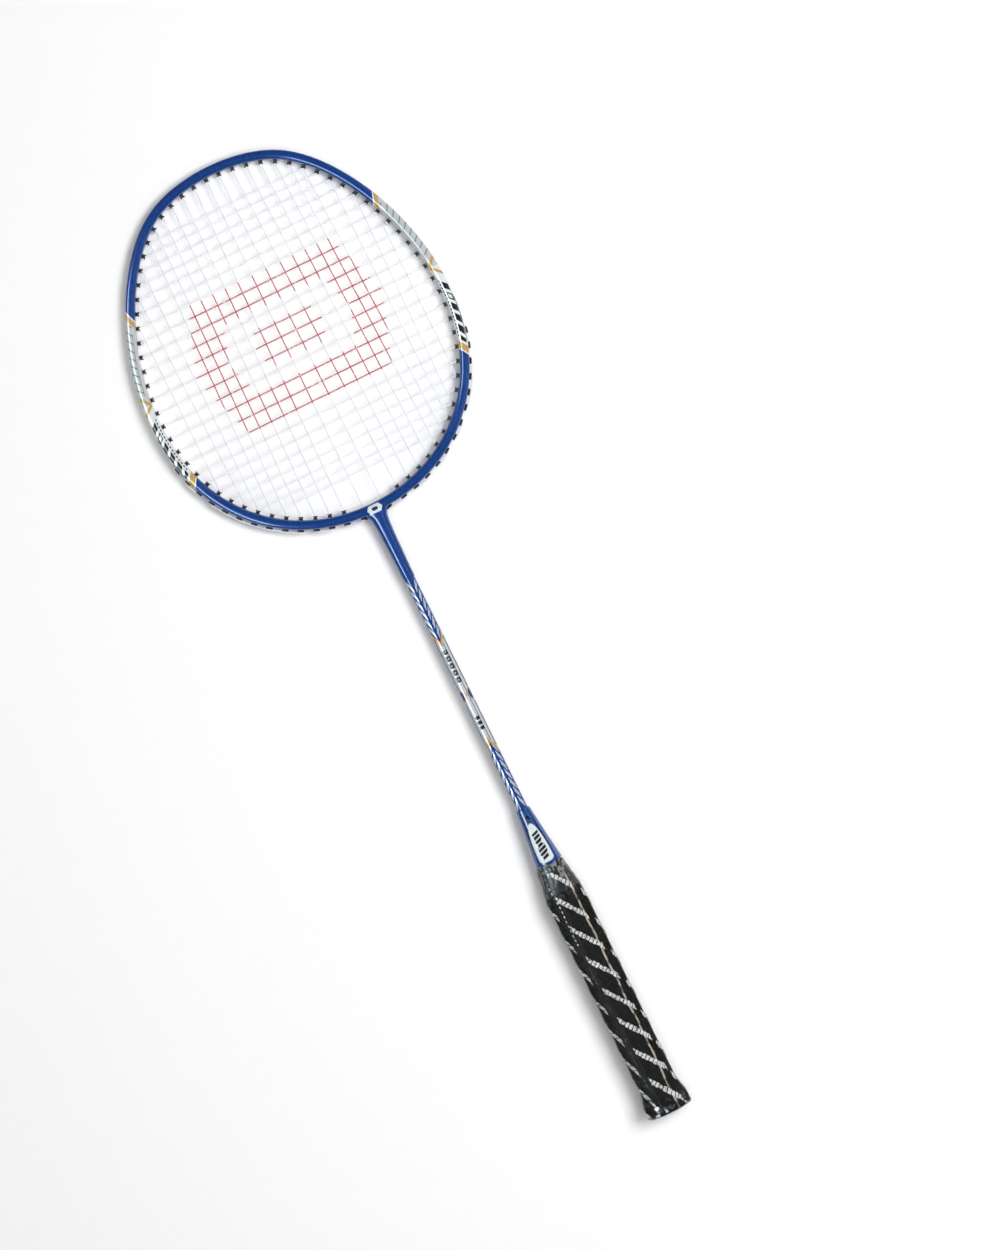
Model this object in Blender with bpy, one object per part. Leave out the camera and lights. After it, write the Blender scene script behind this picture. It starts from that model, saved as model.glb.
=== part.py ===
"""Badminton racket: drilled hoop, T-joint, shaft, cone, wrapped handle, two strings and their grommets.

Metres. The origin is the centre of the butt's end face. +Y runs along the racket to the tip of the head,
+X to the right and +Z out of the front face, so the string bed lies in the plane Z = 0.
"""

import math

import bmesh
import bpy
from mathutils import Vector

MM = 0.001
FIT_GAP = 0.3 * MM

# Whole racket
TOTAL_LENGTH = 670 * MM

# Head outline, as the distance of its tangent line from the head's centre:
# mean radius, and how far it is egg-shaped, oval, shouldered, square, five- and six-sided.
HEAD_TERMS = (115.1 * MM, -1.0 * MM, 8.85 * MM, 2.4 * MM, -1.2 * MM, -0.85 * MM, -0.35 * MM)
HEAD_CENTRE_Y = TOTAL_LENGTH - sum(HEAD_TERMS)

# Hoop section: (distance out from the outline, half height); the groove is open to the outside.
WINDOW_HALF = 1.8 * MM
GROOVE_DEPTH = 2.0 * MM
OUTER_HALF_SECTION = (
    (-0.1 * MM, 2.7 * MM),
    (-0.9 * MM, 4.3 * MM),
    (-3.0 * MM, 5.0 * MM),
    (-5.2 * MM, 4.5 * MM),
)
INNER_EDGE = -6.4 * MM
CAVITY_OUTER = -2.8 * MM
CAVITY_CREST = (-4.2 * MM, 4.1 * MM)
CAVITY_INNER = -5.6 * MM

# String holes, numbered on each half from the tip (1) to the throat (36)
HOLES = 36
LAST_GROOVED_HOLE = 22
HOLE_LINE = -7.3 * MM
FIRST_HOLE = 4.4 * MM
NEXT_TO_THROAT_HOLE = 18.9 * MM
THROAT_HOLE_INNER_X = 6.3 * MM
THROAT_HOLE_OUTER_X = 8.6 * MM

# T-joint
CROSSBAR_HALF = 13.5 * MM
HOOP_END_HALF = CROSSBAR_HALF + FIT_GAP
SPIGOT_HALF = 16.8 * MM
SPIGOT_SCALE = 0.76
SOCKET_RADIUS = 3.75 * MM
SOCKET_END_Y = 414 * MM
SEAT_DEPTH = 0.17 * MM
SEAT_CUTTER_TOP = 4 * MM
THROAT_BORE_SPAN = (-9 * MM, 3 * MM)
CUTTER_OVERRUN = 1 * MM
BAR_STEPS = 8
NECK_PROFILE = (  # y, half width, half depth
    (378.0 * MM, 3.95 * MM, 3.95 * MM),
    (395.0 * MM, 4.35 * MM, 4.30 * MM),
    (410.0 * MM, 4.80 * MM, 4.60 * MM),
    (420.0 * MM, 5.30 * MM, 4.80 * MM),
    (423.5 * MM, 5.90 * MM, 4.85 * MM),
    (425.2 * MM, 7.30 * MM, 4.80 * MM),
    (426.6 * MM, 9.20 * MM, 4.60 * MM),
    (428.6 * MM, 9.60 * MM, 4.40 * MM),
)

# Grommets
BARREL_RADIUS = 1.5 * MM
BARREL_BORE = 1.15 * MM
BARREL_TIP = -8.6 * MM
FLANGE_HALF_LENGTH = 2.1 * MM
FLANGE_HALF_WIDTH = 1.6 * MM
FLANGE_THICKNESS = 0.7 * MM
STRIP_TOP = -1.25 * MM
STRIP_THICKNESS = 0.45 * MM
STRIP_HALF_WIDTH = 1.35 * MM
STRIP_OVERHANG = 1.7 * MM
STRIP_BARREL_INSET = 0.1 * MM
STRIP_BORE_TIP = -10 * MM

# Strings
STRING_RADIUS = 0.35 * MM
STRING_LEVEL = 0.45 * MM
MAIN_TOP_HOLES = (1, 2, 3, 4, 5, 6, 7, 9, 11, 13)
MAIN_BOTTOM_HOLES = (36, 35, 34, 33, 32, 31, 30, 29, 28, 26)
FIRST_CROSS_HOLE = 7
LAST_CROSS_HOLE = 30
SHARPEST_MITRE = 0.6

# Shaft
SHAFT_RADIUS = 3.6 * MM
SHAFT_WALL = 0.7 * MM
SHAFT_START_Y = 97 * MM
SHAFT_END_Y = SOCKET_END_Y - FIT_GAP

# Cone
SKIRT_START_Y = 156 * MM
CONE_BASE_Y = 177 * MM
CONE_NOSE_Y = 212.5 * MM
CONE_END_Y = 215 * MM
CONE_BASE_RADIUS = 9.5 * MM
CONE_NOSE_RADIUS = 4.95 * MM
CONE_END_RADIUS = 4.45 * MM
SKIRT_RADIUS = 7.4 * MM
CONE_CAVITY_RADIUS = 6.5 * MM
CONE_CAVITY_END_Y = 182 * MM
SHAFT_BORE_RADIUS = SHAFT_RADIUS + FIT_GAP

# Labels
LABEL_START_Y = 178.5 * MM
LABEL_END_Y = 205 * MM
LABEL_HALF_ANGLE = math.radians(38)
LABEL_ROWS = 8
LABEL_COLUMNS = 6
LABEL_END_SHARE = 0.25
LABEL_THICKNESS = 0.25 * MM
LABEL_LIFT = 0.15 * MM
BUTT_LABEL_RADIUS = 9 * MM
BUTT_LABEL_THICKNESS = 0.5 * MM

# Handle section and silhouette: (y, how far the outside stands off the octagon, how round it is)
HANDLE_HALF_WIDTH = 13.1 * MM
HANDLE_HALF_DEPTH = 11.9 * MM
HANDLE_HALF_FACET = 6.8 * MM
SILHOUETTE = (
    (1.2 * MM, 1.40 * MM, 0.0),
    (2.2 * MM, 2.20 * MM, 0.0),
    (4.0 * MM, 2.50 * MM, 0.0),
    (6.0 * MM, 2.50 * MM, 0.0),
    (10.0 * MM, 1.85 * MM, 0.0),
    (14.0 * MM, 0.80 * MM, 0.0),
    (18.0 * MM, 0.20 * MM, 0.0),
    (21.0 * MM, 0.00 * MM, 0.0),
    (152.0 * MM, 0.00 * MM, 0.0),
    (157.0 * MM, -0.40 * MM, 0.2),
    (164.0 * MM, -1.60 * MM, 0.65),
    (170.0 * MM, -2.70 * MM, 1.0),
    (175.9 * MM, -3.50 * MM, 1.0),
    (176.5 * MM, -3.60 * MM, 1.0),
)
FILM_THICKNESS = 0.25 * MM
TAPE_START_Y = 157 * MM
TAPE_END_Y = 175.9 * MM
TAPE_THICKNESS = 0.2 * MM
GRIP_START_Y = 1.6 * MM
GRIP_END_Y = 175.9 * MM
GRIP_INNER_DEPTH = 2.55 * MM
GRIP_TOP_INNER_DEPTH = 1.85 * MM
CORE_DEPTH = GRIP_INNER_DEPTH + FIT_GAP
CORE_START_Y = 3.1 * MM
CORE_SHOULDER_Y = 154 * MM
CORE_END_Y = 179.5 * MM
CORE_SPIGOT_RADIUS = 6.2 * MM
CORE_BORE_END_Y = 95 * MM
CAP_FACE_Y = 0.8 * MM
CAP_FLOOR_Y = 2.8 * MM
CAP_END_Y = 14 * MM

ROUND_SIDES = 24
HANDLE_SIDES = 16
HEXAGON = 6
SMOOTH_ANGLE = math.radians(40)

# name: (colour, roughness, metallic, alpha)
FINISHES = {
    "enamelled_aluminium": ((0.01, 0.07, 0.36), 0.25, 0.3, 1.0),
    "enamelled_joint": ((0.01, 0.07, 0.36), 0.25, 0.3, 1.0),
    "enamelled_steel": ((0.01, 0.07, 0.36), 0.25, 0.3, 1.0),
    "blue_abs": ((0.01, 0.08, 0.42), 0.30, 0.0, 1.0),
    "white_foil": ((0.85, 0.86, 0.88), 0.35, 0.0, 1.0),
    "black_nylon": ((0.02, 0.02, 0.02), 0.50, 0.0, 1.0),
    "clear_nylon_string": ((0.90, 0.90, 0.92), 0.30, 0.0, 1.0),
    "beech": ((0.62, 0.42, 0.24), 0.60, 0.0, 1.0),
    "black_abs": ((0.02, 0.02, 0.02), 0.45, 0.0, 1.0),
    "black_grip": ((0.015, 0.015, 0.015), 0.70, 0.0, 1.0),
    "black_tape": ((0.03, 0.03, 0.03), 0.40, 0.0, 1.0),
    "clear_film": ((0.90, 0.90, 0.90), 0.12, 0.0, 0.35),
}


def clear_scene():
    for old in list(bpy.data.objects):
        bpy.data.objects.remove(old, do_unlink=True)


def finish(name):
    """The named material, made the first time it is asked for."""
    if name in bpy.data.materials:
        return bpy.data.materials[name]
    colour, roughness, metallic, alpha = FINISHES[name]
    material = bpy.data.materials.new(name)
    material.use_nodes = True
    shader = material.node_tree.nodes["Principled BSDF"]
    shader.inputs["Base Color"].default_value = (*colour, 1.0)
    shader.inputs["Roughness"].default_value = roughness
    shader.inputs["Metallic"].default_value = metallic
    shader.inputs["Alpha"].default_value = alpha
    return material


def body(name, bm, finish_name):
    """An object from a closed bmesh, with its faces turned outwards and its curved sides smooth."""
    bmesh.ops.recalc_face_normals(bm, faces=bm.faces)
    mesh = bpy.data.meshes.new(name)
    bm.to_mesh(mesh)
    bm.free()
    mesh.shade_smooth()
    mesh.set_sharp_from_angle(angle=SMOOTH_ANGLE)
    mesh.materials.append(finish(finish_name))
    made = bpy.data.objects.new(name, mesh)
    bpy.context.scene.collection.objects.link(made)
    return made


def helper(name, bm):
    """A closed body that only cuts or joins another one."""
    made = body(name, bm, "black_abs")
    made.hide_render = True
    made.display_type = "WIRE"
    return made


def boolean(target, other, operation):
    modifier = target.modifiers.new(other.name, "BOOLEAN")
    modifier.operation = operation
    modifier.object = other


def add_ring(bm, points):
    return [bm.verts.new(point) for point in points]


def span(bm, near, far):
    """Join two rings of equal length with pairs of triangles, all split the same way."""
    for i in range(len(near)):
        j = (i + 1) % len(near)
        bm.faces.new((near[i], near[j], far[j]))
        bm.faces.new((near[i], far[j], far[i]))


def loft(bm, rings, loop=False):
    """Skin a run of rings. A loop joins the last ring to the first; otherwise both ends are capped."""
    made = [add_ring(bm, ring) for ring in rings]
    for near, far in zip(made, made[1:]):
        span(bm, near, far)
    if loop:
        span(bm, made[-1], made[0])
    else:
        bm.faces.new(made[0])
        bm.faces.new(made[-1])


def circle(y, radius, sides=ROUND_SIDES, depth=None):
    """A ring about the racket's axis; depth is its half depth where it is an ellipse."""
    depth = radius if depth is None else depth
    angles = [math.tau * (i + 0.5) / sides for i in range(sides)]
    return [Vector((radius * math.cos(a), y, depth * math.sin(a))) for a in angles]


# Head outline


def outline_distance(angle, term_factor):
    return sum(size * term_factor(k, angle) for k, size in enumerate(HEAD_TERMS))


def outline_point(angle, offset, z=0.0):
    """The point whose outward normal leans this far from +Y towards +X, this far outside the outline."""
    reach = offset + outline_distance(angle, lambda k, a: math.cos(k * a))
    slope = outline_distance(angle, lambda k, a: -k * math.sin(k * a))
    x = reach * math.sin(angle) + slope * math.cos(angle)
    y = reach * math.cos(angle) - slope * math.sin(angle)
    return Vector((x, HEAD_CENTRE_Y + y, z))


def outline_normal(angle):
    return Vector((math.sin(angle), math.cos(angle), 0.0))


def arc_to(angle, offset):
    """The length of the offset outline from the tip to this angle."""
    waves = sum(
        size * (1 - k * k) / k * math.sin(k * angle) for k, size in enumerate(HEAD_TERMS) if k > 0
    )
    return (HEAD_TERMS[0] + offset) * angle + waves


def angle_at(arc, offset):
    """The angle where the offset outline has run this far from the tip, found by halving."""
    low, high = 0.0, math.pi
    for _ in range(40):
        middle = (low + high) / 2
        if arc_to(middle, offset) < arc:
            low = middle
        else:
            high = middle
    return (low + high) / 2


HALF_HOLE_LINE = arc_to(math.pi, HOLE_LINE)
HALF_OUTLINE = arc_to(math.pi, 0.0)
HOLE_PITCH = (HALF_HOLE_LINE - FIRST_HOLE - NEXT_TO_THROAT_HOLE) / (HOLES - 2)


def hole_angle(number):
    """The angle of a hole's axis on the right half."""
    return angle_at(FIRST_HOLE + HOLE_PITCH * (number - 1), HOLE_LINE)


def beside(angle, distance):
    """The angle a little further round the outer edge."""
    return angle_at(arc_to(angle, 0.0) + distance, 0.0)


def hole_axis(number, side):
    """Where a hole leaves the outline and its outward direction; the throat's two holes lean outwards."""
    if number < HOLES:
        angle = side * hole_angle(number)
        return outline_point(angle, 0.0), outline_normal(angle)
    bottom_y = outline_point(math.pi, 0.0).y
    outer = Vector((side * THROAT_HOLE_OUTER_X, bottom_y, 0.0))
    inner = Vector((side * THROAT_HOLE_INNER_X, bottom_y - INNER_EDGE, 0.0))
    return outer, (outer - inner).normalized()


def along_hole(number, side, distance):
    start, direction = hole_axis(number, side)
    return start + direction * distance


def hexagon(number, side, distance, half_length, half_width):
    """Six points round a hole's axis: half_length along the outline, half_width in Z."""
    centre = along_hole(number, side, distance)
    across = hole_axis(number, side)[1].cross(Vector((0, 0, 1)))
    angles = [math.tau * i / HEXAGON for i in range(HEXAGON)]
    return [
        centre + across * (half_length * math.cos(a)) + Vector((0, 0, half_width * math.sin(a)))
        for a in angles
    ]


# Hoop


def outer_section(groove):
    """(offset, z) points round the outside, starting at the groove's floor."""
    upper = [(-groove, WINDOW_HALF), *OUTER_HALF_SECTION, (INNER_EDGE, WINDOW_HALF)]
    lower = [(offset, -z) for offset, z in reversed(upper)]
    return upper + lower


def cavity_section(scale=1.0):
    upper = [(CAVITY_OUTER, WINDOW_HALF), CAVITY_CREST, (CAVITY_INNER, WINDOW_HALF)]
    middle = CAVITY_CREST[0]
    points = upper + [(offset, -z) for offset, z in reversed(upper)]
    return [(middle + (offset - middle) * scale, z * scale) for offset, z in points]


def section_ring(angle, section):
    return [outline_point(angle, offset, z) for offset, z in section]


def hoop_stations():
    """(angle, groove depth) either side of every hole, from one end of the hoop round to the other."""
    half = []
    for number in range(1, HOLES):
        groove = GROOVE_DEPTH if number <= LAST_GROOVED_HOLE else 0.0
        half += [(beside(hole_angle(number), step), groove) for step in (-WINDOW_HALF, WINDOW_HALF)]
    half.append((angle_at(HALF_OUTLINE - HOOP_END_HALF, 0.0), 0.0))
    return [(-angle, groove) for angle, groove in reversed(half)] + half


def window_wall(bm, outside, inside, edge):
    """The four faces that line a hole in one wall, between its skin and the cavity's skin."""
    (a, b), (c, d) = edge
    outer = [outside[0][a], outside[0][b], outside[1][b], outside[1][a]]
    inner = [inside[0][c], inside[0][d], inside[1][d], inside[1][c]]
    for i in range(4):
        j = (i + 1) % 4
        bm.faces.new((outer[i], outer[j], inner[j], inner[i]))


def skin(bm, near, far, open_strips):
    """Quads between two rings, except on the strips that are left open for a hole."""
    for i in range(len(near)):
        j = (i + 1) % len(near)
        if i not in open_strips:
            bm.faces.new((near[i], near[j], far[j], far[i]))


def make_head_frame():
    """The hollow hoop, open at both ends, with a hole through both walls at each pair of stations."""
    bm = bmesh.new()
    stations = hoop_stations()
    outer = [[bm.verts.new(p) for p in section_ring(a, outer_section(g))] for a, g in stations]
    cavity = [[bm.verts.new(p) for p in section_ring(a, cavity_section())] for a, _ in stations]
    # The strips between a section's first and last points face outwards, those at its middle inwards.
    outer_strips = (len(outer[0]) - 1, len(outer[0]) // 2 - 1)
    cavity_strips = (len(cavity[0]) - 1, len(cavity[0]) // 2 - 1)
    for i in range(len(stations) - 1):
        is_hole = i % 2 == 1
        skin(bm, outer[i], outer[i + 1], outer_strips if is_hole else ())
        skin(bm, cavity[i], cavity[i + 1], cavity_strips if is_hole else ())
        for outer_strip, cavity_strip in zip(outer_strips, cavity_strips):
            if is_hole:
                ends = (
                    (outer_strip, (outer_strip + 1) % len(outer[0])),
                    (cavity_strip, (cavity_strip + 1) % len(cavity[0])),
                )
                window_wall(bm, outer[i : i + 2], cavity[i : i + 2], ends)
    for end in (0, -1):
        rim = [e for ring in (outer[end], cavity[end]) for e in ring_edges(ring)]
        bmesh.ops.triangle_fill(bm, edges=rim, use_beauty=True)
    return body("head_frame", bm, "enamelled_aluminium")


def ring_edges(ring):
    """The edges that join a ring's points in turn."""
    found = []
    for i, vertex in enumerate(ring):
        following = ring[(i + 1) % len(ring)]
        found += [edge for edge in vertex.link_edges if following in edge.verts]
    return found


# T-joint


def bar_rings(half, section):
    """Rings of a section swept across the bottom of the outline, from the right end to the left."""
    rings = []
    for i in range(BAR_STEPS + 1):
        past = half * (2 * i / BAR_STEPS - 1)
        angle = angle_at(HALF_OUTLINE - abs(past), 0.0)
        rings.append(section_ring(math.tau - angle if past > 0 else angle, section))
    return rings


def make_t_joint():
    """Crossbar that closes the hoop, with a spigot into each end of it, and a neck bored for the shaft."""
    bm = bmesh.new()
    loft(bm, bar_rings(CROSSBAR_HALF, outer_section(0.0)))
    joint = body("t_joint", bm, "enamelled_joint")
    bm = bmesh.new()
    loft(bm, bar_rings(SPIGOT_HALF, cavity_section(SPIGOT_SCALE)))
    boolean(joint, helper("joint_spigots", bm), "UNION")
    bm = bmesh.new()
    loft(bm, [circle(y, half_width, ROUND_SIDES, half_depth) for y, half_width, half_depth in NECK_PROFILE])
    boolean(joint, helper("joint_neck", bm), "UNION")
    bm = bmesh.new()
    loft(bm, [circle(y, SOCKET_RADIUS) for y in (NECK_PROFILE[0][0] - CUTTER_OVERRUN, SOCKET_END_Y)])
    for side in (-1, 1):
        hole = BARREL_RADIUS + FIT_GAP
        loft(bm, [hexagon(HOLES, side, reach, hole, hole) for reach in THROAT_BORE_SPAN])
    boolean(joint, helper("joint_bores", bm), "DIFFERENCE")
    bm = bmesh.new()
    for side in (-1, 1):
        seat = [FLANGE_HALF_LENGTH + FIT_GAP, FLANGE_HALF_WIDTH + FIT_GAP]
        loft(bm, [hexagon(HOLES, side, reach, *seat) for reach in (-SEAT_DEPTH, SEAT_CUTTER_TOP)])
    boolean(joint, helper("joint_seats", bm), "DIFFERENCE")
    return joint


# Grommets


def make_grommet(number, side):
    """One barrel with a flange that bears on the outside of the head."""
    tip = BARREL_TIP if number < HOLES else INNER_EDGE
    top = FIT_GAP + FLANGE_THICKNESS
    flange = (FLANGE_HALF_LENGTH, FLANGE_HALF_WIDTH)
    rings = [
        hexagon(number, side, tip, BARREL_BORE, BARREL_BORE),
        hexagon(number, side, tip, BARREL_RADIUS, BARREL_RADIUS),
        hexagon(number, side, FIT_GAP, BARREL_RADIUS, BARREL_RADIUS),
        hexagon(number, side, FIT_GAP, *flange),
        hexagon(number, side, top, *flange),
        hexagon(number, side, top, BARREL_BORE, BARREL_BORE),
    ]
    bm = bmesh.new()
    loft(bm, rings, loop=True)
    side_name = "right" if side > 0 else "left"
    return body(f"grommet_{side_name}_{number}", bm, "black_nylon")


def make_grommet_strip(side):
    """One band along the floor of the groove, with a barrel through every hole under it."""
    numbers = range(1, LAST_GROOVED_HOLE + 1)
    angles = [angle_at(FIT_GAP, 0.0)]
    for number in numbers:
        angles += [beside(hole_angle(number), step) for step in (-WINDOW_HALF, WINDOW_HALF)]
    angles[-1] = beside(hole_angle(LAST_GROOVED_HOLE), STRIP_OVERHANG)
    floor = STRIP_TOP - STRIP_THICKNESS
    section = [
        (floor, -STRIP_HALF_WIDTH),
        (floor, STRIP_HALF_WIDTH),
        (STRIP_TOP, STRIP_HALF_WIDTH),
        (STRIP_TOP, -STRIP_HALF_WIDTH),
    ]
    side_name = "right" if side > 0 else "left"
    bm = bmesh.new()
    loft(bm, [section_ring(side * angle, section) for angle in angles])
    strip = body(f"grommet_strip_{side_name}", bm, "black_nylon")
    barrels = bmesh.new()
    bores = bmesh.new()
    middle = (floor + STRIP_TOP) / 2
    barrel = (BARREL_RADIUS, STRIP_HALF_WIDTH - STRIP_BARREL_INSET)
    bore = (BARREL_BORE, BARREL_BORE)
    for number in numbers:
        loft(barrels, [hexagon(number, side, reach, *barrel) for reach in (BARREL_TIP, middle)])
        loft(bores, [hexagon(number, side, reach, *bore) for reach in (STRIP_BORE_TIP, 0.0)])
    boolean(strip, helper(f"strip_barrels_{side_name}", barrels), "UNION")
    boolean(strip, helper(f"strip_bores_{side_name}", bores), "DIFFERENCE")
    return strip


# Strings


def inner_end(number, side):
    """Where a string leaves its grommet inside the head."""
    return along_hole(number, side, (BARREL_TIP if number < HOLES else INNER_EDGE) - FIT_GAP)


def outer_end(number, side):
    """Where a string turns outside the head: in the groove, or over the grommet's flange."""
    if number <= LAST_GROOVED_HOLE:
        return along_hole(number, side, STRIP_TOP + FIT_GAP + STRING_RADIUS)
    return along_hole(number, side, 2 * FIT_GAP + FLANGE_THICKNESS + STRING_RADIUS)


def wrap(start, end, side):
    """Out through one hole, along the outside past any between, and in through another."""
    step = 1 if end > start else -1
    outside = [outer_end(number, side) for number in range(start, end + step, step)]
    return [inner_end(start, side), *outside, inner_end(end, side)]


def half_main_route(side):
    """The mains of one side, from the top of the innermost to the tied end of the outermost."""
    pairs = list(zip(MAIN_TOP_HOLES, MAIN_BOTTOM_HOLES))
    route = [outer_end(MAIN_TOP_HOLES[0], side), inner_end(MAIN_TOP_HOLES[0], side)]
    for i, (top, bottom) in enumerate(pairs[:-1]):
        next_top, next_bottom = pairs[i + 1]
        route += wrap(bottom, next_bottom, side) if i % 2 == 0 else wrap(top, next_top, side)
    last_top = MAIN_TOP_HOLES[-1]
    return route + wrap(last_top, last_top + 1, side)


def cross_route():
    """The crosses from the top one to the lowest, tied at the left through the next holes out."""
    route = wrap(FIRST_CROSS_HOLE - 1, FIRST_CROSS_HOLE, -1)
    side = 1
    for number in range(FIRST_CROSS_HOLE, LAST_CROSS_HOLE):
        route += wrap(number, number + 1, side)
        side = -side
    return route + wrap(LAST_CROSS_HOLE, LAST_CROSS_HOLE + 1, side)


def make_string(name, route, level):
    """A four-sided tube along a flat route, mitred where it turns."""
    rings = []
    for i, point in enumerate(route):
        before = (point - route[i - 1]).normalized() if i > 0 else None
        after = (route[i + 1] - point).normalized() if i + 1 < len(route) else None
        before = after if before is None else before
        after = before if after is None else after
        ahead = (before + after).normalized()
        across = ahead.cross(Vector((0, 0, 1))) * (STRING_RADIUS / max(ahead.dot(after), SHARPEST_MITRE))
        centre = point + Vector((0, 0, level))
        up = Vector((0, 0, STRING_RADIUS))
        rings.append([centre + across, centre + up, centre - across, centre - up])
    bm = bmesh.new()
    loft(bm, rings)
    return body(name, bm, "clear_nylon_string")


# Shaft and cone


def make_shaft():
    inner = SHAFT_RADIUS - SHAFT_WALL
    rings = [
        circle(SHAFT_START_Y, SHAFT_RADIUS),
        circle(SHAFT_END_Y, SHAFT_RADIUS),
        circle(SHAFT_END_Y, inner),
        circle(SHAFT_START_Y, inner),
    ]
    bm = bmesh.new()
    loft(bm, rings, loop=True)
    return body("shaft", bm, "enamelled_steel")


def cone_radius(y):
    share = (y - CONE_BASE_Y) / (CONE_NOSE_Y - CONE_BASE_Y)
    return CONE_BASE_RADIUS + (CONE_NOSE_RADIUS - CONE_BASE_RADIUS) * share


def make_cone():
    """Tapered cap over the top of the core, with a skirt that the grip is wrapped over."""
    profile = (
        (SKIRT_START_Y, SKIRT_RADIUS),
        (CONE_BASE_Y, SKIRT_RADIUS),
        (CONE_BASE_Y, CONE_BASE_RADIUS),
        (CONE_NOSE_Y, CONE_NOSE_RADIUS),
        (CONE_END_Y, CONE_END_RADIUS),
        (CONE_END_Y, SHAFT_BORE_RADIUS),
        (CONE_CAVITY_END_Y, SHAFT_BORE_RADIUS),
        (CONE_CAVITY_END_Y, CONE_CAVITY_RADIUS),
        (SKIRT_START_Y, CONE_CAVITY_RADIUS),
    )
    bm = bmesh.new()
    loft(bm, [circle(y, radius) for y, radius in profile], loop=True)
    return body("cone", bm, "blue_abs")


def make_cone_label(name, facing):
    """A thin plate that follows the cone, round at both ends. facing is 1 at the front, -1 at the back."""
    rings = []
    for row in range(LABEL_ROWS + 1):
        share = row / LABEL_ROWS
        y = LABEL_START_Y + (LABEL_END_Y - LABEL_START_Y) * share
        bulge = LABEL_END_SHARE + (1 - LABEL_END_SHARE) * math.sin(math.pi * share) ** 0.5
        turns = [LABEL_HALF_ANGLE * bulge * (2 * i / LABEL_COLUMNS - 1) for i in range(LABEL_COLUMNS + 1)]
        low = cone_radius(y) + LABEL_LIFT
        spans = [(low, turns), (low + LABEL_THICKNESS, turns[::-1])]
        rings.append(
            [
                Vector((radius * math.sin(turn), y, facing * radius * math.cos(turn)))
                for radius, swept in spans
                for turn in swept
            ]
        )
    bm = bmesh.new()
    loft(bm, rings)
    return body(name, bm, "white_foil")


# Handle


def silhouette(y):
    """How far the outside stands off the octagon at this height, and how round it is."""
    for (y0, stand0, round0), (y1, stand1, round1) in zip(SILHOUETTE, SILHOUETTE[1:]):
        if y <= y1:
            share = max(0.0, (y - y0) / (y1 - y0))
            return stand0 + (stand1 - stand0) * share, round0 + (round1 - round0) * share
    return SILHOUETTE[-1][1:]


def octagon(stand_off):
    """Corners and middles of the sides of the handle's octagon, grown outwards by stand_off."""
    width = HANDLE_HALF_WIDTH + stand_off
    depth = HANDLE_HALF_DEPTH + stand_off
    facet = HANDLE_HALF_FACET + stand_off * math.tan(math.pi / 8)
    side = depth - (width - facet)
    corners = [(width, side), (facet, depth), (-facet, depth), (-width, side)]
    corners += [(-x, -z) for x, z in corners]
    points = []
    for i, (x, z) in enumerate(corners):
        next_x, next_z = corners[(i + 1) % len(corners)]
        points += [(x, z), ((x + next_x) / 2, (z + next_z) / 2)]
    return points


def handle_ring(y, stand_off, roundness=0.0):
    """The octagon at this height, or a circle of the same width where it is fully round."""
    radius = HANDLE_HALF_WIDTH + stand_off
    ring = []
    for x, z in octagon(stand_off):
        turn = math.atan2(z, x)
        round_x, round_z = radius * math.cos(turn), radius * math.sin(turn)
        ring.append(Vector((x + (round_x - x) * roundness, y, z + (round_z - z) * roundness)))
    return ring


def heights(start, end):
    """The silhouette's own heights between two ends, with the ends."""
    return [start, *(y for y, _, _ in SILHOUETTE if start < y < end), end]


def layer_rings(start, end, depth):
    """Rings that lie this deep under the outside of the wrapped handle; depth may be a function of height."""
    rings = []
    for y in heights(start, end):
        stand_off, roundness = silhouette(y)
        inset = depth(y) if callable(depth) else depth
        rings.append(handle_ring(y, stand_off - inset, roundness))
    return rings


def make_sleeve(name, start, end, outer_depth, inner_depth, finish_name):
    """A tube between two depths; both its skins are split alike, so that layers stay parallel."""
    bm = bmesh.new()
    outer = [add_ring(bm, ring) for ring in layer_rings(start, end, outer_depth)]
    inner = [add_ring(bm, ring) for ring in layer_rings(start, end, inner_depth)]
    for surface in (outer, inner):
        for near, far in zip(surface, surface[1:]):
            span(bm, near, far)
    span(bm, outer[0], inner[0])
    span(bm, outer[-1], inner[-1])
    return body(name, bm, finish_name)


def grip_outer_depth(y):
    """The grip lies under the film, and under the finishing tape at its top."""
    under_film = FILM_THICKNESS + FIT_GAP
    return under_film if y < TAPE_START_Y else under_film + TAPE_THICKNESS + FIT_GAP


def grip_inner_depth(y):
    """The grip thins where it climbs over the cone's skirt."""
    share = min(1.0, max(0.0, (y - CORE_SHOULDER_Y) / (GRIP_END_Y - CORE_SHOULDER_Y)))
    return GRIP_INNER_DEPTH + (GRIP_TOP_INNER_DEPTH - GRIP_INNER_DEPTH) * share


def make_handle_core():
    """Octagonal wooden core, turned down at its top and bored for the shaft."""
    rings = [
        handle_ring(CORE_START_Y, -CORE_DEPTH),
        handle_ring(CORE_SHOULDER_Y, -CORE_DEPTH),
        circle(CORE_SHOULDER_Y, CORE_SPIGOT_RADIUS, HANDLE_SIDES),
        circle(CORE_END_Y, CORE_SPIGOT_RADIUS, HANDLE_SIDES),
        circle(CORE_END_Y, SHAFT_BORE_RADIUS, HANDLE_SIDES),
        circle(CORE_BORE_END_Y, SHAFT_BORE_RADIUS, HANDLE_SIDES),
    ]
    bm = bmesh.new()
    loft(bm, rings)
    return body("handle_core", bm, "beech")


def make_butt_cap():
    """Flared cup over the end of the core, under the grip."""
    outer = layer_rings(CAP_FACE_Y, CAP_END_Y, CORE_DEPTH)
    inner = [handle_ring(y, -GRIP_INNER_DEPTH) for y in (CAP_END_Y, CAP_FLOOR_Y)]
    bm = bmesh.new()
    loft(bm, outer + inner)
    return body("butt_cap", bm, "black_abs")


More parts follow.
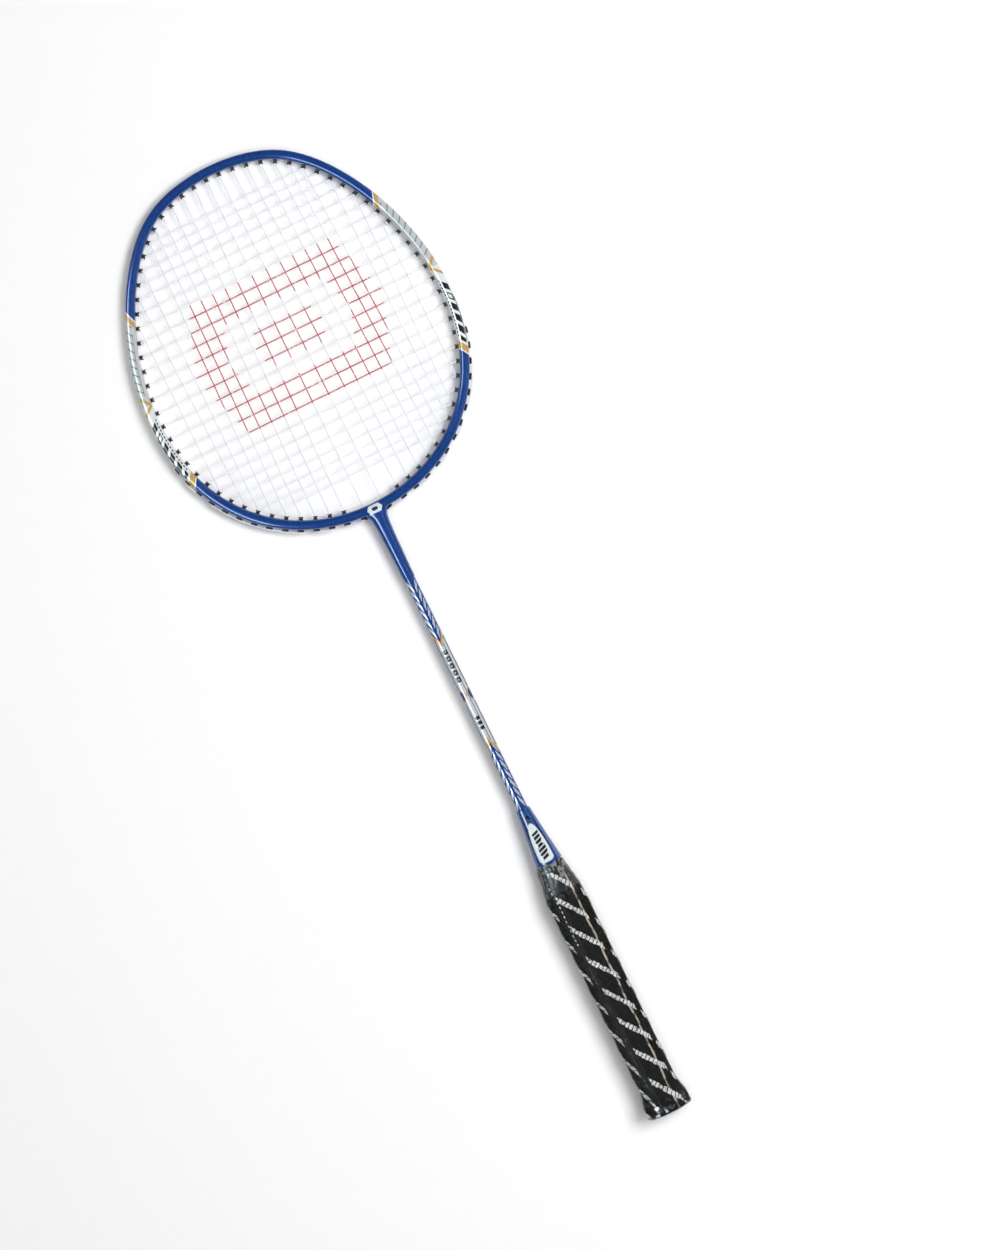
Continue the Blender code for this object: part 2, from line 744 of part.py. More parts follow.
def make_butt_label():
    bm = bmesh.new()
    loft(bm, [circle(y, BUTT_LABEL_RADIUS) for y in (0.0, BUTT_LABEL_THICKNESS)])
    return body("butt_label", bm, "white_foil")


def make_handle():
    film_end = SILHOUETTE[-1][0]
    make_handle_core()
    make_butt_cap()
    make_butt_label()
    make_sleeve("grip_tape", GRIP_START_Y, GRIP_END_Y, grip_outer_depth, grip_inner_depth, "black_grip")
    tape_depth = FILM_THICKNESS + FIT_GAP
    make_sleeve(
        "finishing_tape", TAPE_START_Y, TAPE_END_Y, tape_depth, tape_depth + TAPE_THICKNESS, "black_tape"
    )
    make_sleeve("grip_film", SILHOUETTE[0][0], film_end, 0.0, FILM_THICKNESS, "clear_film")


def make_head():
    make_head_frame()
    make_t_joint()
    for side in (-1, 1):
        make_grommet_strip(side)
        for number in range(LAST_GROOVED_HOLE + 1, HOLES + 1):
            make_grommet(number, side)
    mains = half_main_route(-1)[::-1] + half_main_route(1)
    make_string("main_string", mains, STRING_LEVEL)
    make_string("cross_string", cross_route(), -STRING_LEVEL)


def main():
    clear_scene()
    make_head()
    make_shaft()
    make_cone()
    make_cone_label("cone_label_front", 1)
    make_cone_label("cone_label_back", -1)
    make_handle()


main()
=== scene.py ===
"""Looks of a badminton racket: enamelled hoop and shaft, woven nylon strings and a film-wrapped grip.

Metres. The origin is the centre of the butt's end face, +Y runs to the tip of the head, +X to the right and
+Z out of the front face. Sizes are those of the CAD part, which is loaded as a fixed frame.
"""

import logging
import math
from collections.abc import Callable, Iterable, Sequence
from dataclasses import dataclass, field
from enum import Enum
from typing import Any

import bmesh
import bpy
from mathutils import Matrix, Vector, noise

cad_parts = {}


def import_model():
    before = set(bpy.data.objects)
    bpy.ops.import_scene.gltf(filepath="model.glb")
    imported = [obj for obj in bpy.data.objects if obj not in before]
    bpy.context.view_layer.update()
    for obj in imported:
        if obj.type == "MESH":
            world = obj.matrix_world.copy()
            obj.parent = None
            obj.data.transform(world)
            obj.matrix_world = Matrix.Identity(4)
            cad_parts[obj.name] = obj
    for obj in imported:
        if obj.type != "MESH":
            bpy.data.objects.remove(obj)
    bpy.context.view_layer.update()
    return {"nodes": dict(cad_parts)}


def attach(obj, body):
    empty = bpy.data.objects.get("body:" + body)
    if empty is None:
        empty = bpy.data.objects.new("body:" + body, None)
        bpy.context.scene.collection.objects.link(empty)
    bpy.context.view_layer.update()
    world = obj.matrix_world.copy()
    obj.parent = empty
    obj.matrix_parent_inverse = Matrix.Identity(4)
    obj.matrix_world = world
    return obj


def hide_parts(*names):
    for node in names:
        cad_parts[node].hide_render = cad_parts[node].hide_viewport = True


MM = 0.001
ACROSS = Vector((1, 0, 0))  # to the racket's right
ALONG = Vector((0, 1, 0))  # from the butt to the tip
UP = Vector((0, 0, 1))  # out of the front face

log = logging.getLogger("racket")


class Side(Enum):
    """The two halves of the head, as the sign of X."""

    LEFT = -1
    RIGHT = 1


class Facing(Enum):
    """The two faces of the racket, as the sign of Z."""

    FRONT = 1
    BACK = -1


class Lamp(Enum):
    """What a lamp is for."""

    SHADES = "lights matt surfaces and throws shadows, but makes no glint"
    GLINTS = "shows only in glossy surfaces"


# ---------------------------------------------------------------- colours and nodes


def linear(hex_colour: str) -> tuple[float, float, float, float]:
    """Turns an sRGB hex colour into linear light.

    Args:
        hex_colour: six hex digits after a hash.

    Returns:
        Red, green and blue as linear numbers, and an alpha of 1.
    """
    channels = [int(hex_colour[i : i + 2], 16) / 255 for i in (1, 3, 5)]
    red, green, blue = [c / 12.92 if c <= 0.04045 else ((c + 0.055) / 1.055) ** 2.4 for c in channels]
    return red, green, blue, 1.0


def add_node(
    tree: bpy.types.NodeTree,
    kind: str,
    *inputs: Any,
    named: dict[int | str, Any] | None = None,
    out: int | str = 0,
    **settings: Any,
) -> Any:
    """Adds a shader node with its settings, and fills or links its inputs.

    Args:
        tree: the material's node tree.
        kind: the node's type without "ShaderNode".
        inputs: values or sockets for the first inputs in order; None leaves one alone.
        named: values or sockets for other inputs, by name or place.
        out: the name or place of the output to give back.
        settings: properties of the node itself.

    Returns:
        The output socket, or the node itself where out is "node".
    """
    made = tree.nodes.new("ShaderNode" + kind)
    for name, value in settings.items():
        setattr(made, name, value)
    for place, value in [*enumerate(inputs), *(named or {}).items()]:
        if isinstance(value, bpy.types.NodeSocket):
            tree.links.new(value, made.inputs[place])
        elif value is not None:
            made.inputs[place].default_value = value
    return made if out == "node" else made.outputs[out]


@dataclass
class Surface:
    """A material being built: its tree, and the places on the piece that patterns are drawn from."""

    name: str
    tree: bpy.types.NodeTree = field(init=False)
    material: bpy.types.Material = field(init=False)

    def __post_init__(self) -> None:
        """Starts an empty node tree."""
        self.material = bpy.data.materials.new(self.name)
        self.material.use_nodes = True
        self.tree = self.material.node_tree
        self.tree.nodes.clear()

    def add(self, kind: str, *inputs: Any, **settings: Any) -> Any:
        """Adds a node to this material's tree."""
        return add_node(self.tree, kind, *inputs, **settings)

    def millimetres(self) -> Any:
        """The place on the piece as a vector in millimetres."""
        place = self.add("TexCoord", out="Object")
        return self.add("VectorMath", place, named={"Scale": 1000.0}, operation="SCALE")

    def axes(self) -> tuple[Any, Any, Any]:
        """X, Y and Z on the piece in millimetres."""
        parts = self.add("SeparateXYZ", self.millimetres(), out="node")
        return parts.outputs[0], parts.outputs[1], parts.outputs[2]

    def stored(self, name: str) -> Any:
        """A number stored on the piece's vertices."""
        return self.add("Attribute", attribute_name=name, out="Fac")

    def mix_of(self, terms: Sequence[tuple[Any, float]], constant: float = 0.0) -> Any:
        """A weighted sum of fields.

        Args:
            terms: each field with its factor.
            constant: what is added to the sum.

        Returns:
            The sum's socket.
        """
        total: Any = constant
        for value, factor in terms:
            total = self.add("Math", value, factor, total, operation="MULTIPLY_ADD")
        return total

    def size_of(self, value: Any) -> Any:
        """How far a field is from zero."""
        return self.add("Math", value, operation="ABSOLUTE")

    def band(self, value: Any, low: float, high: float) -> Any:
        """1 where a field lies between two numbers, 0 elsewhere."""
        return self.add("Math", value, (low + high) / 2, (high - low) / 2, operation="COMPARE")

    def repeated(self, value: Any, pitch: float, first: float) -> Any:
        """How far a field is from the nearest of a row of evenly spaced lines.

        Args:
            value: the field that the lines cross.
            pitch: the distance between lines.
            first: where one of them lies.

        Returns:
            A field between minus half a pitch and half a pitch.
        """
        moved = self.add("Math", value, first, operation="SUBTRACT")
        return self.add("Math", moved, pitch / 2, -pitch / 2, operation="WRAP")

    def stripes(self, value: Any, pitch: float, width: float, first: float) -> Any:
        """1 on evenly spaced lines of a given width across a field."""
        return self.band(self.repeated(value, pitch, first), -width / 2, width / 2)

    def every(self, *masks: Any) -> Any:
        """1 only where all the masks are 1.

        Args:
            masks: fields from 0 to 1, which are multiplied.

        Returns:
            The product's socket.
        """
        found = masks[0]
        for mask in masks[1:]:
            found = self.add("Math", found, mask, operation="MULTIPLY")
        return found

    def either(self, *masks: Any) -> Any:
        """1 where any of the masks is 1.

        Args:
            masks: fields from 0 to 1, of which the largest counts.

        Returns:
            The largest field's socket.
        """
        found = masks[0]
        for mask in masks[1:]:
            found = self.add("Math", found, mask, operation="MAXIMUM")
        return found

    def painted(self, base: Any, layers: Iterable[tuple[Any, Any]]) -> Any:
        """Lays colours over each other.

        Args:
            base: the lowest colour, or its socket.
            layers: pairs of a mask and the colour that it lets through, lowest first.

        Returns:
            The socket of the finished colour.
        """
        for mask, colour in layers:
            base = self.add("Mix", mask, named={6: base, 7: colour}, out=2, data_type="RGBA")
        return base

    def grain(self, size: float, detail: float = 2.0, stretch: tuple[float, float, float] = (1, 1, 1)) -> Any:
        """Noise whose cells have a real size.

        Args:
            size: the size of a cell in millimetres.
            detail: how many finer octaves it has.
            stretch: how much finer it is along each axis.

        Returns:
            A field around 0.5.
        """
        place = self.add("VectorMath", self.millimetres(), stretch, operation="MULTIPLY")
        return self.add("TexNoise", named={"Vector": place, "Scale": 1 / size, "Detail": detail}, out=0)

    def spread(self, value: Any, low: float, high: float, to_low: float, to_high: float) -> Any:
        """A field stretched from one range to another, held at its ends."""
        return self.add("MapRange", value, low, high, to_low, to_high, clamp=True)

    def relief(self, height: Any, depth: float, under: Any = None) -> Any:
        """The normal of a surface that stands up and sinks.

        Args:
            height: a field from 0 to 1.
            depth: how high 1 stands, in millimetres.
            under: the normal of a coarser relief below this one.

        Returns:
            The normal's socket.
        """
        inputs = {"Height": height, "Distance": depth * MM, "Strength": 1.0, "Normal": under}
        return self.add("Bump", named=inputs)

    def shade(self, **inputs: Any) -> bpy.types.Material:
        """Ends the tree in a Principled shader.

        Args:
            inputs: the shader's sockets, with underscores for spaces.

        Returns:
            The finished material.
        """
        named = {name.replace("_", " "): value for name, value in inputs.items()}
        shader = self.add("BsdfPrincipled", named=named)
        self.tree.nodes.new("ShaderNodeOutputMaterial")
        self.tree.links.new(shader, self.tree.nodes[-1].inputs["Surface"])
        return self.material


# ---------------------------------------------------------------- finishes


@dataclass(frozen=True)
class EnamelFinish:
    """Sprayed blue enamel with mica under clear lacquer, with printed gold, silver, white and black trim.

    It gives the eye a deep blue that lightens where it faces the light, a sharp lacquer glint along each
    tube and a faint ripple of orange peel.
    """

    blue: str = "#04347A"
    deep: str = "#032864"
    mica: str = "#1456AC"
    silver: str = "#C0C4C4"
    white: str = "#DEE2E3"
    grey: str = "#747B80"
    gold: str = "#C09A55"
    black: str = "#17191D"
    flake_mm: float = 0.35  # mica is finer than this; drawn as coarse as it shows
    peel_mm: float = 2.2

    def finish(self, name: str, trim: Callable[[Surface], list[tuple[Any, Any]]]) -> bpy.types.Material:
        """Builds the paint with a piece's own trim.

        Args:
            name: the material's name.
            trim: gives the masks and colours of the printed trim.

        Returns:
            The material.
        """
        s = Surface(name)
        flake = s.spread(s.grain(self.flake_mm, 1.0), 0.35, 0.65, 0.0, 1.0)
        cloud = s.spread(s.grain(14.0), 0.35, 0.65, 0.0, 0.5)
        blue = s.painted(linear(self.blue), [(cloud, linear(self.deep))])
        layers = trim(s)
        printed = s.either(*[mask for mask, _ in layers])
        colour = s.painted(blue, layers)
        glint = s.painted(colour, [(s.every(flake, s.mix_of([(printed, -0.4)], 0.4)), linear(self.mica))])
        scuff = s.spread(s.grain(5.0, 6.0, (3, 1, 3)), 0.56, 0.74, 0.0, 1.0)
        roughness = s.mix_of([(scuff, 0.10), (flake, 0.05), (printed, 0.06)], 0.26)
        ripple = s.relief(s.grain(self.peel_mm, 1.0), 0.010)
        edge = s.relief(printed, 0.015, ripple)
        return s.shade(
            Base_Color=glint,
            Metallic=0.18,
            Specular_IOR_Level=0.2,
            Roughness=roughness,
            Coat_Weight=1.0,
            Coat_Roughness=0.05,
            Normal=edge,
        )

    def hoop_trim(self, s: Surface) -> list[tuple[Any, Any]]:
        """The bands, panels and slashes round the head.

        Args:
            s: the surface, whose vertices hold turn_deg from the tip and across_mm from the outside.

        Returns:
            Masks and colours, lowest first.
        """
        turn = s.size_of(s.stored("turn_deg"))
        across = s.stored("across_mm")
        lean = s.mix_of([(turn, 1.0), (across, 0.476)])
        slant = s.mix_of([(turn, 1.0), (across, 0.40)])
        sloped = s.mix_of([(turn, 1.0), (across, -0.42)])
        outer_part = s.band(across, -4.1, 1.0)
        silver = s.every(s.band(lean, 56.8, 200.0), s.band(turn, 0.0, 90.0))
        hatch = s.every(s.stripes(slant, 3.0, 0.55, 61.0), s.band(turn, 59.0, 86.0), outer_part)
        rail = s.every(s.band(across, -4.5, -4.1), s.band(turn, 62.0, 85.0))
        vee = s.mix_of([(s.size_of(s.mix_of([(turn, 1.0)], -88.7)), 1.0), (across, -0.555)], -3.5)
        white = s.band(turn, 88.7, 117.6)
        blocks = s.every(
            s.stripes(sloped, 3.9, 2.6, 97.9), s.band(sloped, 96.0, 119.0), s.band(across, -4.1, -0.9)
        )
        hollow = s.every(s.band(sloped, 101.1, 102.5), s.band(across, -3.6, -1.6))
        rim = s.every(s.band(across, -0.75, -0.35), s.band(turn, 101.0, 116.5))
        dashes = s.every(
            s.stripes(turn, 1.35, 0.85, 0.0), s.band(turn, 93.5, 115.0), s.band(across, -5.5, -4.8)
        )
        band = s.mix_of([(turn, 1.0), (across, -0.30)])
        return [
            (s.band(lean, 54.1, 54.7), linear(self.white)),
            (s.band(lean, 54.7, 56.8), linear(self.gold)),
            (silver, linear(self.silver)),
            (s.either(hatch, rail), linear(self.grey)),
            (white, linear(self.white)),
            (s.every(s.band(vee, -0.7, 0.7), s.band(turn, 84.0, 93.5)), linear(self.gold)),
            (s.either(blocks, rim, dashes), linear(self.black)),
            (hollow, linear(self.white)),
            (s.band(band, 117.4, 118.2), linear(self.white)),
            (s.band(band, 118.2, 120.6), linear(self.gold)),
            (s.band(band, 120.6, 121.1), linear(self.white)),
        ]

    def shaft_trim(self, s: Surface) -> list[tuple[Any, Any]]:
        """The slashes, chevrons and silver panel along the shaft.

        Args:
            s: the surface.

        Returns:
            Masks and colours, lowest first.
        """
        x, y, _ = s.axes()
        reach = s.size_of(x)
        rising = s.mix_of([(y, 1.0), (reach, 2.15)])
        falling = s.mix_of([(y, 1.0), (reach, -2.15)])
        steep_up = s.mix_of([(y, 1.0), (reach, 2.8)])
        steep_down = s.mix_of([(y, 1.0), (reach, -2.8)])
        beside = s.band(s.mix_of([(x, -1.0)], 0.1), -2.6, 3.0)
        beside = s.every(beside, s.band(reach, 0.75, 3.0))
        lower = s.every(s.stripes(steep_up, 6.4, 3.3, 224.6), s.band(steep_up, 222.8, 262.8), beside)
        upper = s.every(s.stripes(steep_down, 6.4, 3.3, 335.2), s.band(steep_down, 333.2, 371.6), beside)
        # On the right half each white slash is split by a thin blue line. This is painted shade, so the
        # slashes there read thinner and darker than on the left.
        on_right = s.band(x, 0.75, 2.7)
        shade_line_up = s.every(s.stripes(steep_up, 6.4, 0.9, 224.6), s.band(rising, 216.0, 262.0), on_right)
        shade_line_down = s.every(s.stripes(steep_down, 6.4, 0.9, 335.2), s.band(falling, 333.0, 372.0), on_right)
        panel = s.every(s.band(rising, 266.0, 900.0), s.band(falling, 0.0, 329.3))
        ticks = s.every(s.stripes(y, 1.6, 0.8, 0.0), s.band(x, -0.35, 0.35), s.band(y, 217.0, 372.0))
        middle = s.size_of(s.mix_of([(y, 1.0)], -295.6))
        cross = s.mix_of([(middle, 1.0), (reach, -1.4)])
        notch = s.every(s.band(cross, -20.0, -0.55), s.band(reach, 1.7, 4.0))
        lines = s.every(s.either(s.band(x, 1.0, 1.4), s.band(reach, 2.85, 5.0)), panel)
        bars = s.either(
            s.every(s.stripes(y, 3.4, 2.3, 272.6), s.band(y, 270.8, 281.8)),
            s.every(s.stripes(y, 4.9, 3.5, 306.4), s.band(y, 304.0, 327.0)),
        )
        inked = s.every(bars, s.band(x, -1.6, 1.5))
        slot = s.every(s.stripes(y, 4.9, 1.1, 306.4), s.band(y, 304.0, 327.0), s.band(x, -0.5, 0.4))
        return [
            (lower, linear(self.white)),
            (upper, linear(self.white)),
            (s.either(shade_line_up, shade_line_down), linear(self.blue)),
            (ticks, linear(self.deep)),
            (panel, linear(self.silver)),
            (lines, linear(self.blue)),
            (notch, linear(self.blue)),
            (s.every(s.band(cross, -0.55, 0.55), s.band(middle, 0.0, 5.5)), linear(self.gold)),
            (inked, linear(self.black)),
            (slot, linear(self.silver)),
            (s.band(rising, 262.4, 266.0), linear(self.gold)),
            (s.band(falling, 329.3, 332.6), linear(self.gold)),
        ]

    def joint_trim(self, s: Surface) -> list[tuple[Any, Any]]:
        """A plain lozenge on the throat.

        Args:
            s: the surface.

        Returns:
            Masks and colours, lowest first.
        """
        x, y, _ = s.axes()
        height = s.size_of(s.mix_of([(y, 1.0)], -427.6))
        slope = s.mix_of([(s.size_of(x), 1.0), (height, 0.7)])
        return [
            (s.every(s.band(slope, -1.0, 5.3), s.band(height, -1.0, 2.8)), linear(self.white)),
            (s.every(s.band(slope, -1.0, 2.2), s.band(height, -1.0, 1.1)), linear(self.deep)),
        ]


@dataclass(frozen=True)
class ConeFinish:
    """Injection-moulded blue ABS, polished, with one printed black arc round the label.

    It gives the eye a saturated, even blue with a broad soft highlight and very fine flow marks.
    """

    blue: str = "#093B80"
    black: str = "#101216"
    arc_half_width: float = 5.5
    arc_foot: float = 179.0
    arc_height: float = 30.0

    def finish(self) -> bpy.types.Material:
        """Builds the plastic with its arc.

        Returns:
            The material.
        """
        s = Surface("blue ABS, moulded and polished")
        x, y, _ = s.axes()
        wide = s.mix_of([(x, 1 / self.arc_half_width)])
        high = s.mix_of([(y, 1 / self.arc_height)], -self.arc_foot / self.arc_height)
        reach = s.add("Math", s.every(wide, wide), s.every(high, high), operation="ADD")
        line = s.band(s.add("Math", reach, operation="SQRT"), 0.968, 1.032)
        arc = s.every(line, s.band(s.mix_of([(y, 1.0), (x, 1.0)]), 191.0, 230.0))
        flow = s.grain(9.0, 3.0, (1, 0.4, 1))
        fine = s.grain(0.5, 2.0)
        colour = s.painted(linear(self.blue), [(s.spread(flow, 0.4, 0.7, 0.0, 0.25), linear("#072F68"))])
        colour = s.painted(colour, [(arc, linear(self.black))])
        scuff = s.spread(s.grain(3.0, 6.0), 0.55, 0.75, 0.0, 0.14)
        roughness = s.mix_of([(scuff, 1.0), (flow, 0.06)], 0.20)
        return s.shade(
            Base_Color=colour,
            Roughness=roughness,
            IOR=1.53,
            Coat_Weight=0.9,
            Coat_Roughness=0.06,
            Normal=s.relief(fine, 0.004),
        )


@dataclass(frozen=True)
class FoilFinish:
    """White vinyl label, printed and die-cut, with black generic bars.

    It gives the eye a clean satin white with the fine tooth of vinyl and a slightly soiled edge.
    """

    white: str = "#D3DADC"
    black: str = "#0E1014"

    def cone_label(self) -> bpy.types.Material:
        """The label on the cone, with a row of slanted bars.

        Returns:
            The material.
        """
        s = Surface("white vinyl, printed with bars")
        x, y, _ = s.axes()
        lean = s.mix_of([(y, 1.0), (x, -0.35)])
        bars = s.every(s.stripes(lean, 2.7, 2.0, 181.4), s.band(lean, 180.2, 198.3))
        place = s.add("Math", lean, 2.7, operation="SNAP")
        chance = s.add("TexWhiteNoise", named={"W": place}, noise_dimensions="1D")
        height = s.spread(chance, 0.0, 1.0, 1.6, 2.9)
        inside = s.add("Math", s.size_of(s.mix_of([(x, 1.0)], -0.3)), height, operation="LESS_THAN")
        return self._shaded(s, s.every(bars, inside))

    def butt_label(self) -> bpy.types.Material:
        """The disc on the butt, with two plain rings.

        Returns:
            The material.
        """
        s = Surface("white vinyl disc, printed with rings")
        x, _, z = s.axes()
        reach = s.add("Math", s.add("Math", s.every(x, x), s.every(z, z), operation="ADD"), operation="SQRT")
        return self._shaded(s, s.either(s.band(reach, 6.6, 7.4), s.band(reach, 2.4, 3.6)))

    def _shaded(self, s: Surface, ink: Any) -> bpy.types.Material:
        """Ends a label's tree.

        Args:
            s: the surface.
            ink: where black is printed.

        Returns:
            The material.
        """
        soil = s.spread(s.grain(4.0, 5.0), 0.5, 0.75, 0.0, 0.22)
        colour = s.painted(linear(self.white), [(soil, linear("#C9CCCF")), (ink, linear(self.black))])
        tooth = s.grain(0.35, 2.0)
        roughness = s.mix_of([(tooth, 0.12), (ink, -0.08)], 0.32)
        return s.shade(Base_Color=colour, Roughness=roughness, IOR=1.52, Normal=s.relief(tooth, 0.008))


@dataclass(frozen=True)
class NylonFinish:
    """Moulded black nylon of the grommets.

    It gives the eye a dull black with a soft sheen, a little greyer where the strings have rubbed.
    """

    def finish(self) -> bpy.types.Material:
        """Builds the nylon.

        Returns:
            The material.
        """
        s = Surface("black nylon, moulded")
        grain = s.grain(0.4, 3.0)
        worn = s.spread(s.grain(2.5, 4.0), 0.52, 0.72, 0.0, 0.5)
        colour = s.painted(linear("#121316"), [(worn, linear("#2B2D31"))])
        roughness = s.mix_of([(grain, 0.2), (worn, 0.1)], 0.34)
        return s.shade(Base_Color=colour, Roughness=roughness, IOR=1.53, Normal=s.relief(grain, 0.02))


@dataclass(frozen=True)
class StringFinish:
    """Braided white nylon string, with one red stencil of plain hexagonal outline brushed across the bed.

    It gives the eye a clean white with a faint lilac shade, a fine twist of filaments with painted shade
    between them, and ink that sits on the crowns of the weave and skips its hollows. The mains are painted a
    darker white and the crosses a brighter one: painted shade and painted light on one nylon.
    """

    # The mains are painted a darker, lilac white and the crosses a brighter white: painted shade and painted
    # light on one nylon.
    main_shaded_white: str = "#E4E4EE"
    cross_lit_white: str = "#FCFCFF"
    main_shade: str = "#C2C2D4"
    cross_shade: str = "#ECECF4"
    ink: str = "#B80418"
    twist_mm: float = 2.4  # the real lay is about 1 mm; drawn coarser so that it shows
    centre_y: float = 550.5
    outer: tuple[float, float] = (66.0, 45.0)
    inner: tuple[float, float] = (43.0, 24.0)
    core: tuple[float, float] = (24.0, 13.0)

    def finish(self, name: str, white: str, shade: str) -> bpy.types.Material:
        """Builds the string.

        Args:
            name: the material's name.
            white: the nylon's colour, with painted shade on the mains and painted light on the crosses.
            shade: the painted shade between the filaments, also the colour of the soiled tone.

        Returns:
            The material.
        """
        s = Surface(name)
        x, y, _ = s.axes()
        wide = s.size_of(x)
        high = s.size_of(s.mix_of([(y, 1.0)], -self.centre_y))
        slope = s.mix_of([(wide, 1.0), (high, 0.35)])
        outline, opening, core = [
            s.every(s.band(high, -1.0, half_height), s.band(slope, -1.0, half_width))
            for half_width, half_height in (self.outer, self.inner, self.core)
        ]
        ring = s.add("Math", outline, opening, operation="SUBTRACT", use_clamp=True)
        stencil = s.either(ring, core)
        facing = s.add("SeparateXYZ", s.add("NewGeometry", out="Normal"), out="node").outputs[2]
        crowns = s.spread(facing, -0.95, -0.55, 0.0, 1.0)
        cover = s.spread(s.grain(1.8, 4.0), 0.32, 0.42, 0.2, 1.0)
        inked = s.every(stencil, crowns, cover)
        lay = s.mix_of([(s.stored("along_mm"), 1 / self.twist_mm), (s.stored("around"), 2.0)])
        wave = s.add("Math", s.mix_of([(lay, math.tau)]), operation="SINE")
        twist = s.spread(wave, -1.0, 1.0, 0.0, 1.0)
        soil = s.spread(s.grain(18.0, 3.0), 0.45, 0.75, 0.0, 0.35)
        base = s.painted(linear(white), [(s.every(soil, 0.7), linear(shade))])
        # The twist lays painted shade between the filaments.
        base = s.painted(base, [(s.every(twist, 0.18), linear(shade)), (inked, linear(self.ink))])
        roughness = s.mix_of([(inked, 0.2), (twist, 0.08)], 0.30)
        return s.shade(
            Base_Color=base,
            Roughness=roughness,
            IOR=1.53,
            Subsurface_Weight=0.15,
            Subsurface_Radius=(0.4 * MM, 0.4 * MM, 0.45 * MM),
            Normal=s.relief(twist, 0.03),
        )


@dataclass(frozen=True)
class GripFinish:
    """Black polyurethane grip, embossed and slightly tacky.

    It gives the eye a near-black with small pores and a broad dull sheen.
    """

    def finish(self, name: str = "black polyurethane, embossed") -> bpy.types.Material:
        """Builds the grip.

        Args:
            name: the material's name.

        Returns:
            The material.
        """
        s = Surface(name)
        pores = s.add("TexVoronoi", named={"Vector": s.millimetres(), "Scale": 1 / 0.9}, out="Distance")
        grain = s.grain(0.6, 4.0)
        rub = s.spread(s.grain(12.0, 5.0), 0.45, 0.75, 0.0, 0.6)
        tops = s.spread(grain, 0.48, 0.66, 0.0, 0.9)
        layers = [(tops, linear("#322F2E")), (s.every(rub, 0.3), linear("#232121"))]
        colour = s.painted(linear("#060505"), layers)
        roughness = s.mix_of([(grain, 0.25), (rub, -0.1)], 0.48)
        normal = s.relief(s.spread(pores, 0.1, 0.5, 0.0, 1.0), 0.06, s.relief(grain, 0.04))
        return s.shade(Base_Color=colour, Roughness=roughness, IOR=1.5, Specular_IOR_Level=0.1, Normal=normal)


